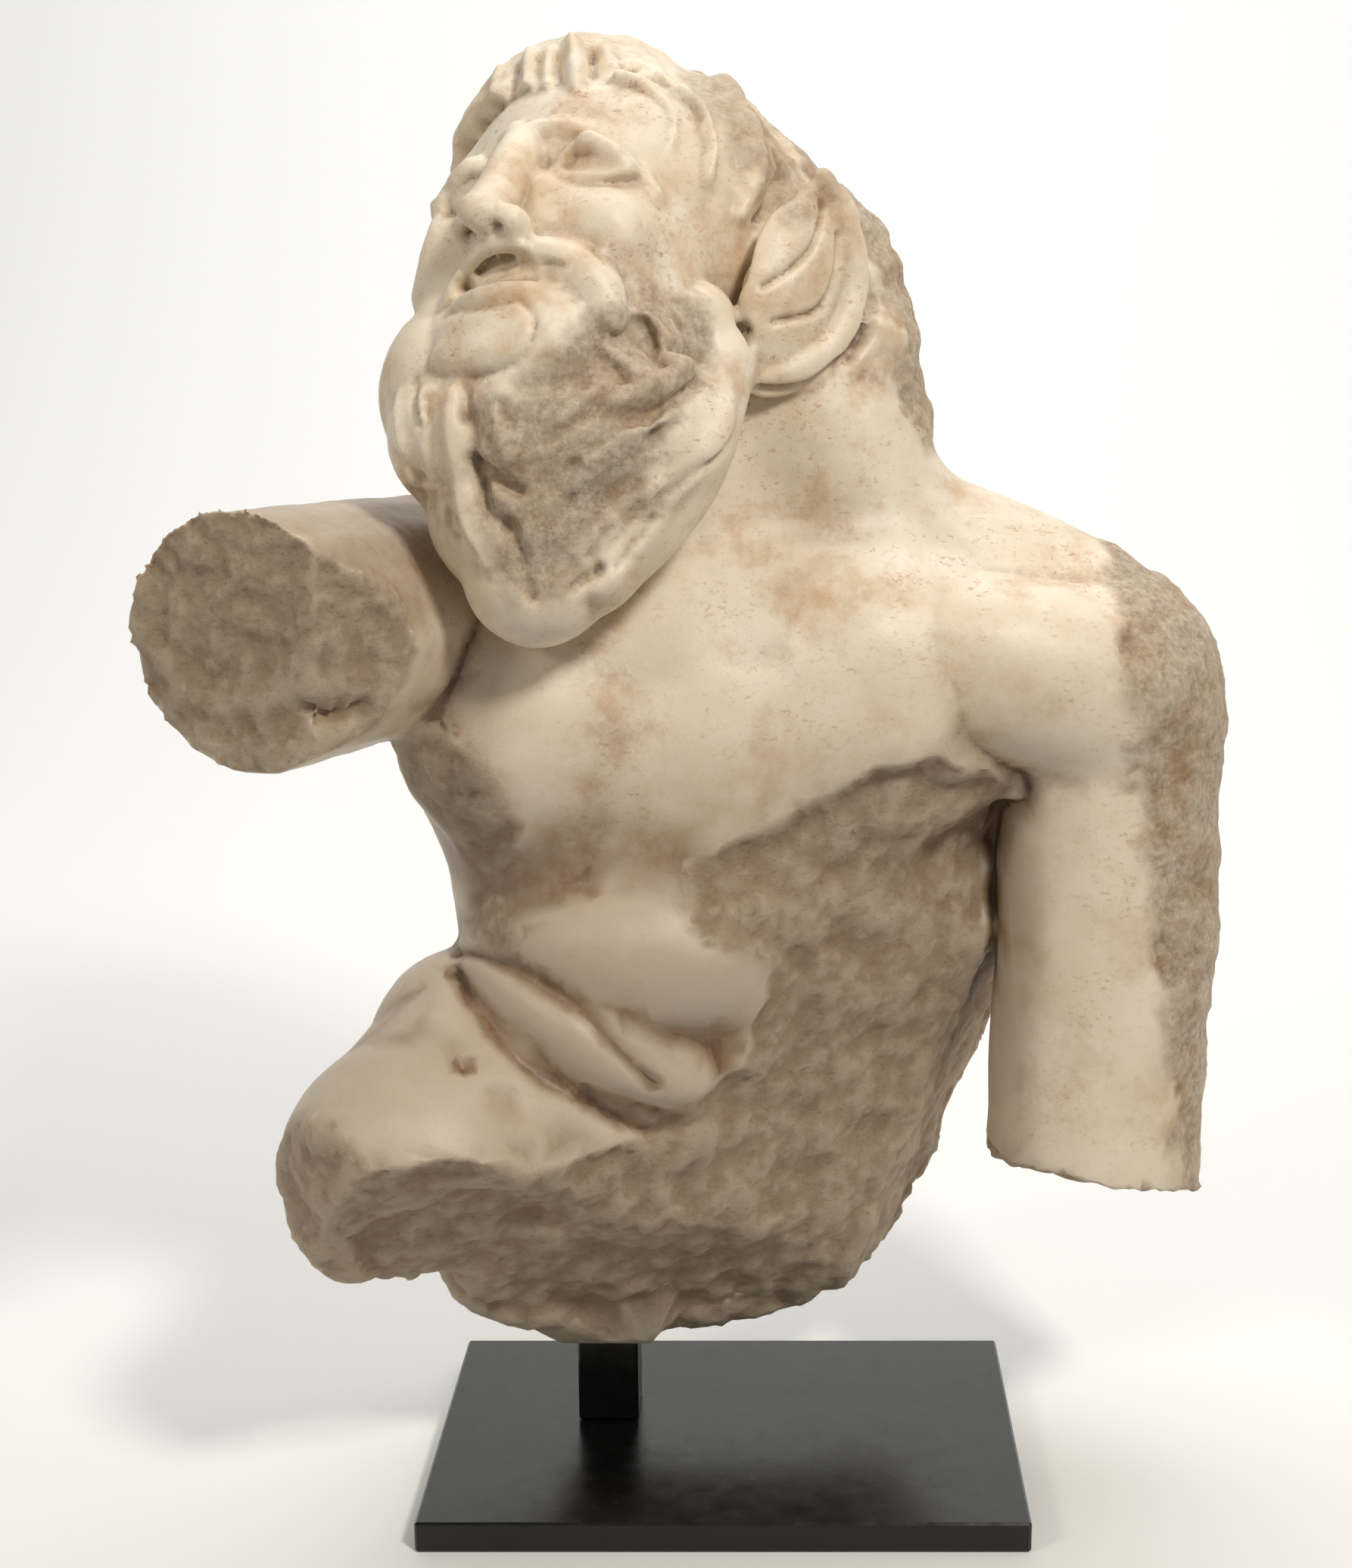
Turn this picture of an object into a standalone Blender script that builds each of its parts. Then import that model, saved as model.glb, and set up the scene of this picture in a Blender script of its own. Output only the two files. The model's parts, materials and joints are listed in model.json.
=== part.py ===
"""Broken marble figure of a bearded satyr, sat on a square steel post over a black steel plate.

Metres, +Z up. The origin is the middle of the plate's underside, X runs along the plate's long side
and the figure faces -Y. The figure is drawn in millimetres at the height DRAWN_HEIGHT and scaled to
FIGURE_HEIGHT, so its pose and carving are shares of its own height.
"""
import math

import bmesh
import bpy
import numpy as np
from mathutils import Matrix, Vector, noise
from mathutils.bvhtree import BVHTree

TOUCH_GAP = 0.0003

PLATE_WIDTH = 0.1524
PLATE_DEPTH = 0.1016
PLATE_THICKNESS = 0.008
PLATE_EDGE_BEVEL = 0.0006

POST_SIDE = 0.016
POST_HEIGHT = 0.024
POST_EDGE_BEVEL = 0.0005
POST_X = -0.032
POST_Y = 0.010

FIGURE_HEIGHT = 0.334
DRAWN_HEIGHT = 334.0
DRAWN_SEAT = (-32.0, 10.0, 32.3)
SEAT_MARGIN = 0.004
SEAT_BLEND = 7.0
SEAT_REACH = 16.0

CLAY_VOXEL = 2.2
FACE_VOXEL = 1.5
FIGURE_VOXEL = 1.7
FINE_RADIUS = 12.0
SOLID_TRIANGLES = 9400
NECK_HEIGHT = 250.0
NECK_BLEND = 20.0
HEAD_WEIGHT = 0.2

HEAD_CENTRE = (-27.0, 2.0, 305.0)
HEAD_TURN = 34.0
HEAD_LIFT = 33.0
HEAD_TILT = 13.0

FLANK_BREAK = [(-9, 171), (5, 178), (25, 188), (36, 194), (52, 196), (72, 186), (84, 120), (80, 60),
               (40, 30), (-60, 44), (-88, 60), (-89, 86), (-74, 95), (-59, 100), (-36, 101), (-19, 105),
               (5, 120), (10, 135), (12, 146), (1, 152), (-8, 157)]
FACE_OUTLINE = [(-44, 24), (-34, 30), (-21, 33), (-5, 32), (5, 28.5), (14, 26), (20, 21), (26, 16),
                (31, 11), (36, 6), (40, 2), (40, -60), (-44, -60)]

# Strokes of the chisel, each with its points, its half widths and its depth, which is negative where it
# leaves a ridge. The hair and face are in the head's frame, the others in the figure's.
BODY_CUTS = [
    ([(-68, -11, 143), (-59, -28, 147), (-49, -39, 146), (-34, -46, 139), (-24, -49, 129), (-16, -46, 120)],
     [2.4, 3.4, 4, 4, 3.6, 2.4], 2.2),
    ([(-67, -18, 140), (-61, -32, 137), (-48, -45, 127), (-31, -45, 115), (-16, -38, 104)],
     [2.4, 3.4, 4, 4, 3], 2.6),
    ([(-60, -18, 159), (-51, -29, 161), (-42, -34, 164), (-33, -36, 168)], [7, 8, 8, 7], 1.2),
    ([(-60, -51, 128), (-60, -51, 127.4)], [3, 3], 2.4),
    ([(-90, -67, 214), (-84, -64, 212), (-77, -62, 213)], [3, 4, 3], 3.0),
]
BEARD_LOBES = [
    ([(2, -37, 281), (-3, -48, 269), (-11, -54, 256), (-19, -58, 246), (-24, -59, 238)],
     [5, 5, 5, 5, 4], -1.8),
    ([(-7, -43, 287), (-14, -52, 284), (-22, -56, 281)], [3.5, 3.5, 3], -1.8),
    ([(-12, -55, 277), (-20, -59, 274), (-28, -61, 269)], [3.2, 3.5, 3], -1.6),
    ([(-15, -59, 271), (-22, -60, 267), (-30, -61, 262)], [3, 3.2, 3], -1.5),
    ([(-13, -56, 262), (-20, -59, 255), (-28, -60, 247)], [4, 4, 3], -1.5),
    ([(-66, -50, 284), (-66, -56, 270), (-63, -56, 258)], [2.6, 2.6, 2.4], -1.2),
    ([(-59, -55, 284), (-59, -58, 270), (-57, -58, 256), (-52, -58, 245)], [2.8, 2.8, 2.6, 2.4], -1.2),
    ([(-72, -42, 282), (-71, -48, 270), (-69, -48, 262)], [2.4, 2.4, 2], -1.0),
    ([(-47, -58, 284), (-48, -61, 277), (-46, -62, 270)], [3.4, 3.6, 3], -1.2),
]
BEARD_CUTS = [
    ([(-68, -43, 286), (-67, -54, 273), (-65, -54, 261), (-59, -56, 250)], [1.0, 1.3, 1.3, 0.9], 1.6),
    ([(-64, -53, 284), (-63, -56, 269), (-60, -56, 256), (-55, -57, 246)], [1.0, 1.3, 1.3, 0.9], 1.8),
    ([(-55, -54, 285), (-54, -58, 273), (-53, -58, 265), (-51, -59, 256)], [1.4, 1.9, 2.2, 1.4], 2.2),
    ([(-73, -43, 270), (-68, -52, 264), (-67, -44, 257)], [1.0, 1.3, 1.0], 1.4),
    ([(-54, -57, 269), (-49, -59, 265), (-43, -60, 262)], [1.8, 2.4, 1.6], 2.6),
    ([(-52, -58, 264), (-50, -59, 258), (-46, -62, 253)], [1.4, 2.2, 1.6], 2.0),
    ([(-46, -62, 255), (-43, -60, 247), (-41, -58, 238)], [1.6, 2.2, 1.6], 1.8),
    ([(-4, -41, 285), (-8, -48, 282), (-13, -54, 279), (-18, -57, 277)], [1.8, 2.4, 1.8, 1.2], 3.6),
    ([(-24, -55, 283), (-29, -58, 278), (-37, -59, 273)], [1.2, 1.8, 1.3], 1.8),
    ([(-19, -58, 277), (-26, -60, 272), (-32, -60, 267)], [1.2, 1.8, 1.3], 1.8),
    ([(-7, -54, 277), (-12, -58, 272), (-17, -60, 269), (-22, -60, 266), (-29, -60, 262), (-33, -60, 258)],
     [1.4, 1.8, 1.8, 1.8, 1.6, 1.2], 2.0),
    ([(-22, -60, 253), (-26, -59, 246), (-32, -58, 239)], [1.4, 2, 1.4], 2.4),
    ([(2, -41, 271), (-7, -54, 263), (-16, -57, 252), (-21, -59, 245)], [1.6, 2.2, 2.2, 1.4], 1.8),
    ([(-47, -57, 281), (-45, -59, 277)], [1.8, 1.8], 2.4),
    ([(-34, -56, 290), (-29, -56, 286)], [1.6, 1.6], 1.4),
    ([(-27, -52, 299), (-22, -41, 295), (-13, -43, 291), (-5, -33, 289)], [1.6, 2, 2, 1.4], 1.2),
]
EAR_CUTS = [
    ([(20, 2, 340), (19, 2, 334), (14, -2, 326), (9, -11, 317), (5, -17, 309), (3, -17, 300), (2, -22, 291)],
     [2, 2.6, 3, 3, 2.8, 2.4, 1.8], 5.0),
    ([(23, -6, 325), (19, -10, 315), (14, -15, 309), (10, -20, 306)], [1.2, 1.4, 1.4, 1.1], 1.6),
    ([(28, -6, 318), (25, -7, 308), (20, -10, 301), (13, -21, 298)], [1.2, 1.6, 1.6, 1.3], 1.8),
    ([(33, 0, 320), (34, 3, 306), (32, 1, 295), (27, -9, 288), (20, -14, 283), (10, -21, 280)],
     [2, 2.6, 2.8, 2.6, 2.4, 2], 3.5),
]
HAIR_LOBES = [
    ([(-15, -38, 42), (-14, -38, 34)], [3.4, 3], -1.3),
    ([(-5, -40, 44), (-4, -39, 32)], [2.6, 2.6], -1.5),
    ([(0, -39, 44), (2, -39, 30)], [2.2, 2.2], -1.2),
    ([(5, -37, 46), (8, -38, 38), (10, -38, 27)], [3.4, 3.6, 3.2], -2.6),
    ([(13, -34, 44), (16, -34, 37), (19, -34, 29)], [2.4, 2.8, 2], -1.3),
    ([(17, -32, 32), (21, -29, 33), (26, -26, 30), (28.5, -24, 26), (29, -24, 20), (27, -23, 16)],
     [1.8, 2.4, 2.6, 2.6, 2.4, 1.8], -3.0),
    ([(24, -26, 38), (31, -22, 34), (35, -18, 27), (36, -16, 20), (34, -15, 13)], [3, 4, 4.6, 4.2, 3], -3.2),
    ([(33, -10, 48), (41, -8, 36), (43, -6, 26), (43, -5, 16), (39, -5, 9)], [5, 5, 5, 4.4, 3.4], -2.8),
]
HAIR_CUTS = [
    ([(-8, -40, 40), (-9, -38, 33)], [1.1, 1.2], 1.6),
    ([(-2, -39, 41), (-1, -39, 31)], [0.9, 1.0], 1.2),
    ([(2, -38, 40), (4, -38, 34), (6, -39, 26)], [1.0, 1.2, 1.4], 2.2),
    ([(10, -35, 44), (13, -36, 33), (14, -36, 24)], [1.0, 1.2, 1.4], 2.2),
    ([(19, -33, 29), (22, -30, 24), (25, -26, 19)], [1.8, 2.2, 1.6], 1.4),
    ([(16, -33, 35), (22, -28, 36), (28, -24, 33), (31.5, -22, 27), (32, -21, 20), (29.5, -21, 14)],
     [1.2, 1.4, 1.6, 1.6, 1.5, 1.2], 2.6),
    ([(18, -32, 38), (26, -26, 41), (33, -20, 39), (38, -16, 31), (40, -14, 24), (39, -12, 16), (36, -10, 9)],
     [1.2, 1.5, 1.7, 1.7, 1.7, 1.6, 1.3], 2.6),
]
FACE_CUTS = [
    ([(-9, -43.5, -26), (-3, -45.5, -25.4), (4, -45.5, -24.9), (9.5, -44, -25.6)],
     [1.1, 2.0, 2.2, 1.2], 6.0),
    ([(9, -44, -25.6), (17, -43, -25.4)], [0.9, 0.7], 1.4),
    ([(-9, -43, -26.2), (-13, -40, -28), (-19, -37, -29)], [1.0, 1.0, 0.8], 2.0),
    ([(4.6, -50, -18.8), (4.6, -50.5, -18.4)], [1.7, 1.7], 4.0),
    ([(-3.4, -50, -18.8), (-3.4, -50.5, -18.4)], [1.7, 1.7], 4.0),
    ([(-13, -40, -31.5), (0, -44.5, -34.2), (9, -42, -33)], [1.3, 1.5, 1.3], 1.3),
    ([(10, -43, -34), (12.8, -41, -38), (12.6, -41, -43), (9, -41, -48), (0, -42, -51), (-11, -40, -50)],
     [1.0, 1.2, 1.3, 1.3, 1.3, 1.0], 1.7),
    ([(9.5, -45, -15.5), (11.5, -41, -12), (16, -40, -13), (21, -38, -16), (27, -36, -22),
      (29.5, -33, -28)],
     [0.9, 1.0, 1.2, 1.2, 1.2, 1.0], 1.0),
    ([(24, -32, -24), (29, -24, -16), (33, -15, -7), (37, -4, 2)], [1.4, 1.6, 1.6, 1.4], 0.9),
]


def material(name, colour, roughness, metallic):
    """A plain Principled material, with its colour as linear values."""
    made = bpy.data.materials.new(name)
    made.use_nodes = True
    shader = made.node_tree.nodes["Principled BSDF"]
    shader.inputs["Base Color"].default_value = (*colour, 1.0)
    shader.inputs["Roughness"].default_value = roughness
    shader.inputs["Metallic"].default_value = metallic
    made.diffuse_color = (*colour, 1.0)
    return made


def head_matrix():
    """Head frame to figure frame: x to the head's left, y to the back of the head, z to its crown."""
    turn = Matrix.Rotation(math.radians(-HEAD_TURN), 4, "Z")
    lift = Matrix.Rotation(math.radians(-HEAD_LIFT), 4, "X")
    tilt = Matrix.Rotation(math.radians(-HEAD_TILT), 4, "Y")
    return Matrix.Translation(HEAD_CENTRE) @ turn @ lift @ tilt


class Clay:
    """Closed shells that overlap, in drawn millimetres, to be fused into one skin."""

    def __init__(self, frame=None):
        self.bm = bmesh.new()
        self.frame = frame or Matrix.Identity(4)

    def ball(self, centre, radii, turn=(0, 0, 0)):
        """An ellipsoid. turn is in degrees about X, Y and Z, in the frame of this clay."""
        spin = Matrix.Identity(4)
        for axis, angle in zip("XYZ", turn):
            spin = Matrix.Rotation(math.radians(angle), 4, axis) @ spin
        place = self.frame @ Matrix.Translation(centre) @ spin @ Matrix.Diagonal((*radii, 1))
        bmesh.ops.create_icosphere(self.bm, subdivisions=3, radius=1.0, matrix=place)

    def rope(self, points, radii):
        """Balls along a smooth curve through the points, with a radius at each point."""
        for centre, radius in along(points, radii):
            place = self.frame @ Matrix.Translation(centre)
            bmesh.ops.create_icosphere(self.bm, subdivisions=3 if radius > FINE_RADIUS else 2,
                                       radius=radius, matrix=place)

    def add(self, mesh):
        self.bm.from_mesh(mesh)

    def fused(self, name, voxel, soften):
        """One skin round all the shells, with its creases eased by some rounds of smoothing."""
        mesh = bpy.data.meshes.new(name)
        self.bm.to_mesh(mesh)
        self.bm.free()
        return evaluated(name, mesh, [("REMESH", {"mode": "VOXEL", "voxel_size": voxel}),
                                      ("SMOOTH", {"factor": 0.5, "iterations": soften})])


def evaluated(name, mesh, modifiers, carrier=None):
    """The mesh with these modifiers applied. The object that carries them is removed again."""
    carrier = carrier or bpy.data.objects.new(name, mesh)
    bpy.context.scene.collection.objects.link(carrier)
    for kind, settings in modifiers:
        modifier = carrier.modifiers.new(kind.title(), kind)
        for setting, value in settings.items():
            setattr(modifier, setting, value)
    graph = bpy.context.evaluated_depsgraph_get()
    result = bpy.data.meshes.new_from_object(carrier.evaluated_get(graph))
    bpy.data.objects.remove(carrier)
    bpy.data.meshes.remove(mesh)
    result.name = name
    return result


def points_of(mesh):
    places = np.empty(len(mesh.vertices) * 3, np.float32)
    mesh.vertices.foreach_get("co", places)
    return places.reshape(-1, 3).astype(float)


def set_points(mesh, places):
    mesh.vertices.foreach_set("co", places.astype(np.float32).ravel())
    mesh.update()


def skin_of(mesh):
    """A search tree of the mesh's faces, for finding the nearest place on its skin."""
    bm = bmesh.new()
    bm.from_mesh(mesh)
    tree = BVHTree.FromBMesh(bm)
    bm.free()
    return tree


def normals_of(mesh):
    normals = np.empty(len(mesh.vertices) * 3, np.float32)
    mesh.vertices.foreach_get("normal", normals)
    return normals.reshape(-1, 3).astype(float)


def along(points, radii):
    """Places and radii of balls that lie close together on a Catmull-Rom curve."""
    knots = [Vector(p) for p in points]
    knots = [knots[0] * 2 - knots[1]] + knots + [knots[-1] * 2 - knots[-2]]
    for i in range(len(points) - 1):
        a, b, c, d = knots[i:i + 4]
        pace = max(0.35 * min(radii[i], radii[i + 1]), 0.6)
        steps = max(2, math.ceil((c - b).length / pace))
        for step in range(steps):
            t = step / steps
            place = 0.5 * (2 * b + (c - a) * t + (2 * a - 5 * b + 4 * c - d) * t ** 2
                           + (3 * b - a - 3 * c + d) * t ** 3)
            yield place, radii[i] + (radii[i + 1] - radii[i]) * t
    yield Vector(points[-1]), radii[-1]


def bumps(places, size, depth, seed):
    """Fractal noise of that depth at each place, with features about that size."""
    shift = Vector((seed * 7.3, seed * 3.1, seed * 5.7))
    heights = [noise.fractal(Vector(p) / size + shift, 0.9, 2.1, 4) for p in places]
    return depth * np.array(heights)


def trim(piece, origin, normal, size, depth, seed):
    """Planes away what stands past a plane, and leaves a rough break there."""
    places = points_of(piece)
    normal = np.array(Vector(normal).normalized())
    past = (places - np.array(origin, float)) @ normal
    index = np.flatnonzero(past > -3 * depth - 1)
    flat = places[index] - past[index][:, None] * normal
    past = past[index] - bumps(flat, size, depth, seed)
    places[index] -= np.clip(past, 0, None)[:, None] * normal
    set_points(piece, places)


def carve(piece, strokes, frame=None):
    """Soft grooves along lines on the skin, each with its points, widths and depth."""
    frame = frame or Matrix.Identity(4)
    skin = skin_of(piece)
    places = points_of(piece)
    normals = normals_of(piece)
    sunk = np.zeros(len(places))
    for points, widths, depth in strokes:
        line = list(along([frame @ Vector(p) for p in points], widths))
        centres = np.array([skin.find_nearest(centre)[0] for centre, width in line])
        spans = np.array([width for centre, width in line])
        reach = 2.2 * spans.max()
        near = (places > centres.min(0) - reach) & (places < centres.max(0) + reach)
        index = np.flatnonzero(np.all(near, axis=1))
        apart = np.linalg.norm(places[index][:, None] - centres[None], axis=2) / spans[None]
        sunk[index] += depth * np.exp(-2.0 * apart.min(1) ** 2)
    set_points(piece, places - sunk[:, None] * normals)


def inside(points, outline):
    """Signed distance of 2-D points to a closed outline, positive inside it."""
    corners = np.array(outline, float)
    apart = np.full(len(points), 1e9)
    within = np.zeros(len(points), bool)
    for a, b in zip(corners, np.roll(corners, -1, axis=0)):
        edge = b - a
        share = np.clip(((points - a) @ edge) / (edge @ edge), 0, 1)
        apart = np.minimum(apart, np.linalg.norm(points - a - share[:, None] * edge, axis=1))
        crosses = (a[1] > points[:, 1]) != (b[1] > points[:, 1])
        reach = a[0] + (points[:, 1] - a[1]) * edge[0] / (edge[1] if edge[1] else 1e-9)
        within ^= crosses & (points[:, 0] < reach)
    return np.where(within, apart, -apart)


def break_away(piece, outline, depth, size, rough, seed):
    """Sinks the front skin inside an outline drawn in X and Z, and leaves it rough."""
    places = points_of(piece)
    normals = normals_of(piece)
    wobble = bumps(places * (1, 0, 1), size * 0.6, size * 0.12, seed + 1)
    within = inside(places[:, [0, 2]], outline) + wobble
    index = np.flatnonzero((within > 0) & (normals[:, 1] < 0.1))
    share = np.clip(within[index] / 5.0, 0, 1)
    push = share * (depth + bumps(places[index], size, rough, seed))
    facing = np.array((0.18, -0.54, -0.18)) + normals[index] * 0.4
    places[index] -= push[:, None] * facing
    set_points(piece, places)


def tuck(piece, outline, frame, depth):
    """Sinks the front of a piece inside an outline in a frame's X and Z, so that what lies under it shows."""
    places = points_of(piece)
    turned = np.array(frame.inverted())
    local = places @ turned[:3, :3].T + turned[:3, 3]
    share = np.clip(inside(local[:, [0, 2]], outline) / 1.2, 0, 1) * np.clip((8 - local[:, 1]) / 4, 0, 1)
    set_points(piece, places - (depth * share)[:, None] * normals_of(piece))


def roughen(piece, size, depth, seed):
    """Rough, picked stone all over a piece."""
    places = points_of(piece)
    places += bumps(places, size, depth, seed)[:, None] * normals_of(piece)
    set_points(piece, places)


def make_torso():
    """Chest, belly and hips as one soft body, then the breast and belly muscles laid on it."""
    core = Clay()
    core.ball((-6, 8, 196), (78, 47, 58))
    core.ball((0, 16, 228), (68, 36, 30))
    core.ball((-8, 6, 150), (63, 47, 46))
    core.ball((24, 20, 125), (58, 42, 60))
    core.ball((46, 34, 118), (50, 28, 68))
    core.ball((34, 28, 84), (52, 34, 48))
    core.ball((60, 26, 176), (28, 24, 44))
    core.ball((-5, 10, 94), (76, 48, 64))
    clay = Clay()
    clay.add(core.fused("core", 3.0, 60))
    clay.rope([(-4, 20, 238), (-10, 16, 288)], [35, 31])
    clay.rope([(0, 24, 245), (50, 18, 239), (92, 12, 222)], [24, 22, 22])
    clay.ball((72, -4, 206), (26, 22, 26))
    clay.rope([(8, 14, 290), (24, 15, 264), (38, 17, 240)], [26, 27, 27])
    clay.rope([(0, 24, 242), (-50, 6, 238), (-80, -6, 230)], [24, 23, 25])
    clay.ball((-46, -15, 202), (36, 24, 36), turn=(0, 12, 0))
    clay.ball((32, -12, 206), (46, 24, 40), turn=(0, -10, 0))
    clay.ball((-18, -14, 148), (42, 35, 27))
    body = clay.fused("torso", CLAY_VOXEL, 60)
    trim(body, (35, -40, 196), (0.519, -0.815, -0.257), 22, 1.8, seed=4)
    trim(body, (62, -15, 140), (0.88, -0.33, -0.34), 14, 1.2, seed=5)
    return body


def make_left_arm():
    """The arm on the viewer's right, which hangs and ends in a break above the elbow."""
    clay = Clay()
    clay.ball((96, 9, 205), (31, 33, 34))
    clay.rope([(42, -12, 223), (66, -11, 216), (94, 0, 208)], [18, 23, 27])
    clay.rope([(98, 8, 196), (98, 6, 150), (96, 4, 100), (96, 2, 60)], [29, 29, 28.5, 28])
    arm = clay.fused("left_arm", CLAY_VOXEL, 30)
    trim(arm, (96, 2, 80), (-0.14, -0.2, -0.97), 6, 1.2, seed=2)
    return arm


def make_right_arm():
    """The arm on the viewer's left, which reaches forward and is broken off short, with a ledge beside."""
    clay = Clay()
    clay.rope([(-74, 5, 228), (-92, -34, 228), (-122, -92, 228)], [28, 30, 30.5])
    arm = clay.fused("right_arm", CLAY_VOXEL, 8)
    trim(arm, (-107, -60, 230), (-0.40, -0.91, -0.05), 8, 1.2, seed=3)
    trim(arm, (-88, -68, 228), (0.62, -0.78, -0.1), 7, 1.6, seed=12)
    return arm


def make_lap():
    """The raised thigh on the viewer's left, which the groin crease parts from the belly."""
    clay = Clay()
    clay.rope([(-22, 10, 98), (-55, -16, 101), (-74, -42, 97)], [45, 41, 33])
    clay.ball((-46, -4, 66), (32, 30, 27))
    clay.ball((-90, -52, 96), (17, 17, 17))
    clay.ball((-66, -6, 112), (26, 30, 30))
    lap = clay.fused("lap", CLAY_VOXEL, 14)
    trim(lap, (-92, -63, 100), (-0.72, -0.69, -0.05), 12, 0.8, seed=13)
    return lap


def make_belly_roll():
    """The fold of belly between the two creases above the thigh."""
    clay = Clay()
    clay.rope([(-58, -12, 142), (-46, -26, 138), (-30, -36, 130), (-10, -38, 118)], [10, 14, 14, 8])
    return clay.fused("belly_roll", CLAY_VOXEL, 8)


def make_skull():
    """The bald head, with cheeks and shallow eye sockets, in figure coordinates."""
    clay = Clay(head_matrix())
    clay.ball((0, 8, 20), (40, 46, 40))
    clay.ball((0, -12, -2), (32, 31, 41))
    clay.ball((0, -20, 22), (28, 21, 19))
    clay.ball((0, -30, -36), (23, 15, 20))
    for side in (-1, 1):
        clay.ball((side * 19, -28, -9), (12, 12.5, 12))
    skull = clay.fused("skull", CLAY_VOXEL, 14)
    sockets = [([(side * 7, -40, 8), (side * 14, -41, 7), (side * 23, -36, 5)], [5.5, 6.5, 5.5], 4.5)
               for side in (-1, 1)]
    carve(skull, sockets, head_matrix())
    return skull


def make_face(skull):
    """Brows, eyes, nose, moustache, lips and the tuft below them, on the skull."""
    clay = Clay(head_matrix())
    clay.add(skull)
    clay.rope([(-1, -39.5, 14), (-0.5, -43.2, 4), (0, -47, -6), (0.5, -50.5, -13)], [4.2, 4.4, 4.8, 5.4])
    clay.ball((0, -52.3, -13.5), (5, 4.4, 4.4))
    clay.ball((6.6, -47, -15.2), (3.6, 5, 3.8))
    clay.ball((-6, -47, -14.8), (3.4, 5, 3.8))
    for side in (-1, 1):
        lift = 1 - side
        clay.rope([(side * 2, -38.5, 17.5), (side * 8, -39.4, 17), (side * 16, -38.8, 15),
                   (side * 23, -35.4, 11.5), (side * 28, -31.2, 7.5), (side * 31, -26.2, 3)],
                  [2.8, 3, 3, 3, 2.6, 2])
        clay.ball((side * 15.5, -31.2, 6 + lift), (9, 6.4, 6))
        clay.rope([(side * 7.5, -36, 7 + lift), (side * 11, -37.9, 9.6 + lift),
                   (side * 15.5, -38.4, 10.6 + lift), (side * 20, -37, 8.8 + lift),
                   (side * 24.5, -33.5, 5 + lift)], [0.9, 1.2, 1.3, 1.2, 0.9])
        clay.rope([(side * 7.5, -36, 6.6 + lift), (side * 11, -37.2, 3.6 + lift),
                   (side * 16, -37.4, 2.4 + lift), (side * 20.5, -35.8, 3 + lift),
                   (side * 24.5, -33, 5 + lift)], [0.8, 1, 1, 1, 0.8])
    clay.rope([(-9, -42.5, -22.5), (-4, -45, -21), (2, -45.8, -20.5), (8, -44.6, -21)],
              [1.8, 2.3, 2.4, 2.2])
    clay.rope([(7, -42, -18.5), (14, -39, -18.3), (20, -34.6, -20.5), (24.5, -30.5, -25), (27, -27, -31)],
              [3, 4, 4.8, 4.8, 3])
    clay.rope([(-9, -42, -22.5), (-14, -39, -26), (-17, -36, -30.5)], [2.4, 2.8, 2])
    clay.rope([(-11, -40, -28.8), (-4, -43, -29.8), (3, -43.4, -30.1), (9.5, -41.4, -29.2)],
              [2, 2.8, 2.9, 2.2])
    clay.ball((-2.5, -38, -42), (14, 7, 8), turn=(0, 3, 0))
    face = clay.fused("face", FACE_VOXEL, 2)
    carve(face, FACE_CUTS, head_matrix())
    return face


def make_ear():
    """The goat's ear on the viewer's right: a long leaf with a rolled rim and folds in its hollow."""
    leaf = Clay(Matrix.Translation((18, -12, 307)) @ Matrix.Rotation(math.radians(38), 4, "Z")
                @ Matrix.Rotation(math.radians(20), 4, "Y"))
    leaf.ball((0, 2, -2), (14, 6.5, 24))
    clay = Clay()
    clay.add(leaf.fused("ear_leaf", CLAY_VOXEL, 2))
    clay.rope([(24, -3, 331), (29, -1, 323), (31, 0, 311), (30, -2, 301), (26, -6, 293), (18, -12, 287),
               (10, -16, 285), (5, -20, 287)], [3, 4, 4.8, 5.2, 5.4, 5.4, 4.6, 3])
    clay.rope([(21, -6, 328), (15, -12, 319), (10, -16, 309)], [2.4, 4, 2.8])
    clay.rope([(25, -4, 324), (21, -8, 314), (16, -12, 306), (11, -16, 302)], [2, 3.2, 3.2, 2])
    clay.ball((7.5, -17.5, 303), (4, 4, 5))
    return clay.fused("ear", FACE_VOXEL, 5)


def make_nape():
    """The rough stone left behind the ear and the neck."""
    clay = Clay()
    clay.ball((2, 22, 320), (26, 24, 27))
    clay.ball((22, 24, 296), (25, 24, 36))
    clay.rope([(22, 20, 292), (33, 21, 272)], [27, 20])
    clay.rope([(22, 4, 271), (34, 5, 269), (46, 14, 266)], [5, 6, 5])
    nape = clay.fused("nape", CLAY_VOXEL, 10)
    roughen(nape, 9, 1.6, seed=8)
    return nape


def make_hair():
    """A cap of hair that ends at the brow, with forelocks, leaf-like lobes at the temple and a worn crown."""
    cap = Clay(head_matrix())
    cap.ball((0, 12, 24), (42, 45, 40))
    cap.ball((-6, -10, 31), (34, 30, 32))
    cap.ball((-30, 6, 12), (16, 26, 24))
    hair = cap.fused("hair", FACE_VOXEL * 1.2, 6)
    carve(hair, HAIR_LOBES, head_matrix())
    carve(hair, HAIR_CUTS, head_matrix())
    roughen(hair, 10, 1.2, seed=9)
    tuck(hair, FACE_OUTLINE, head_matrix(), 8)
    return hair


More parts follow.
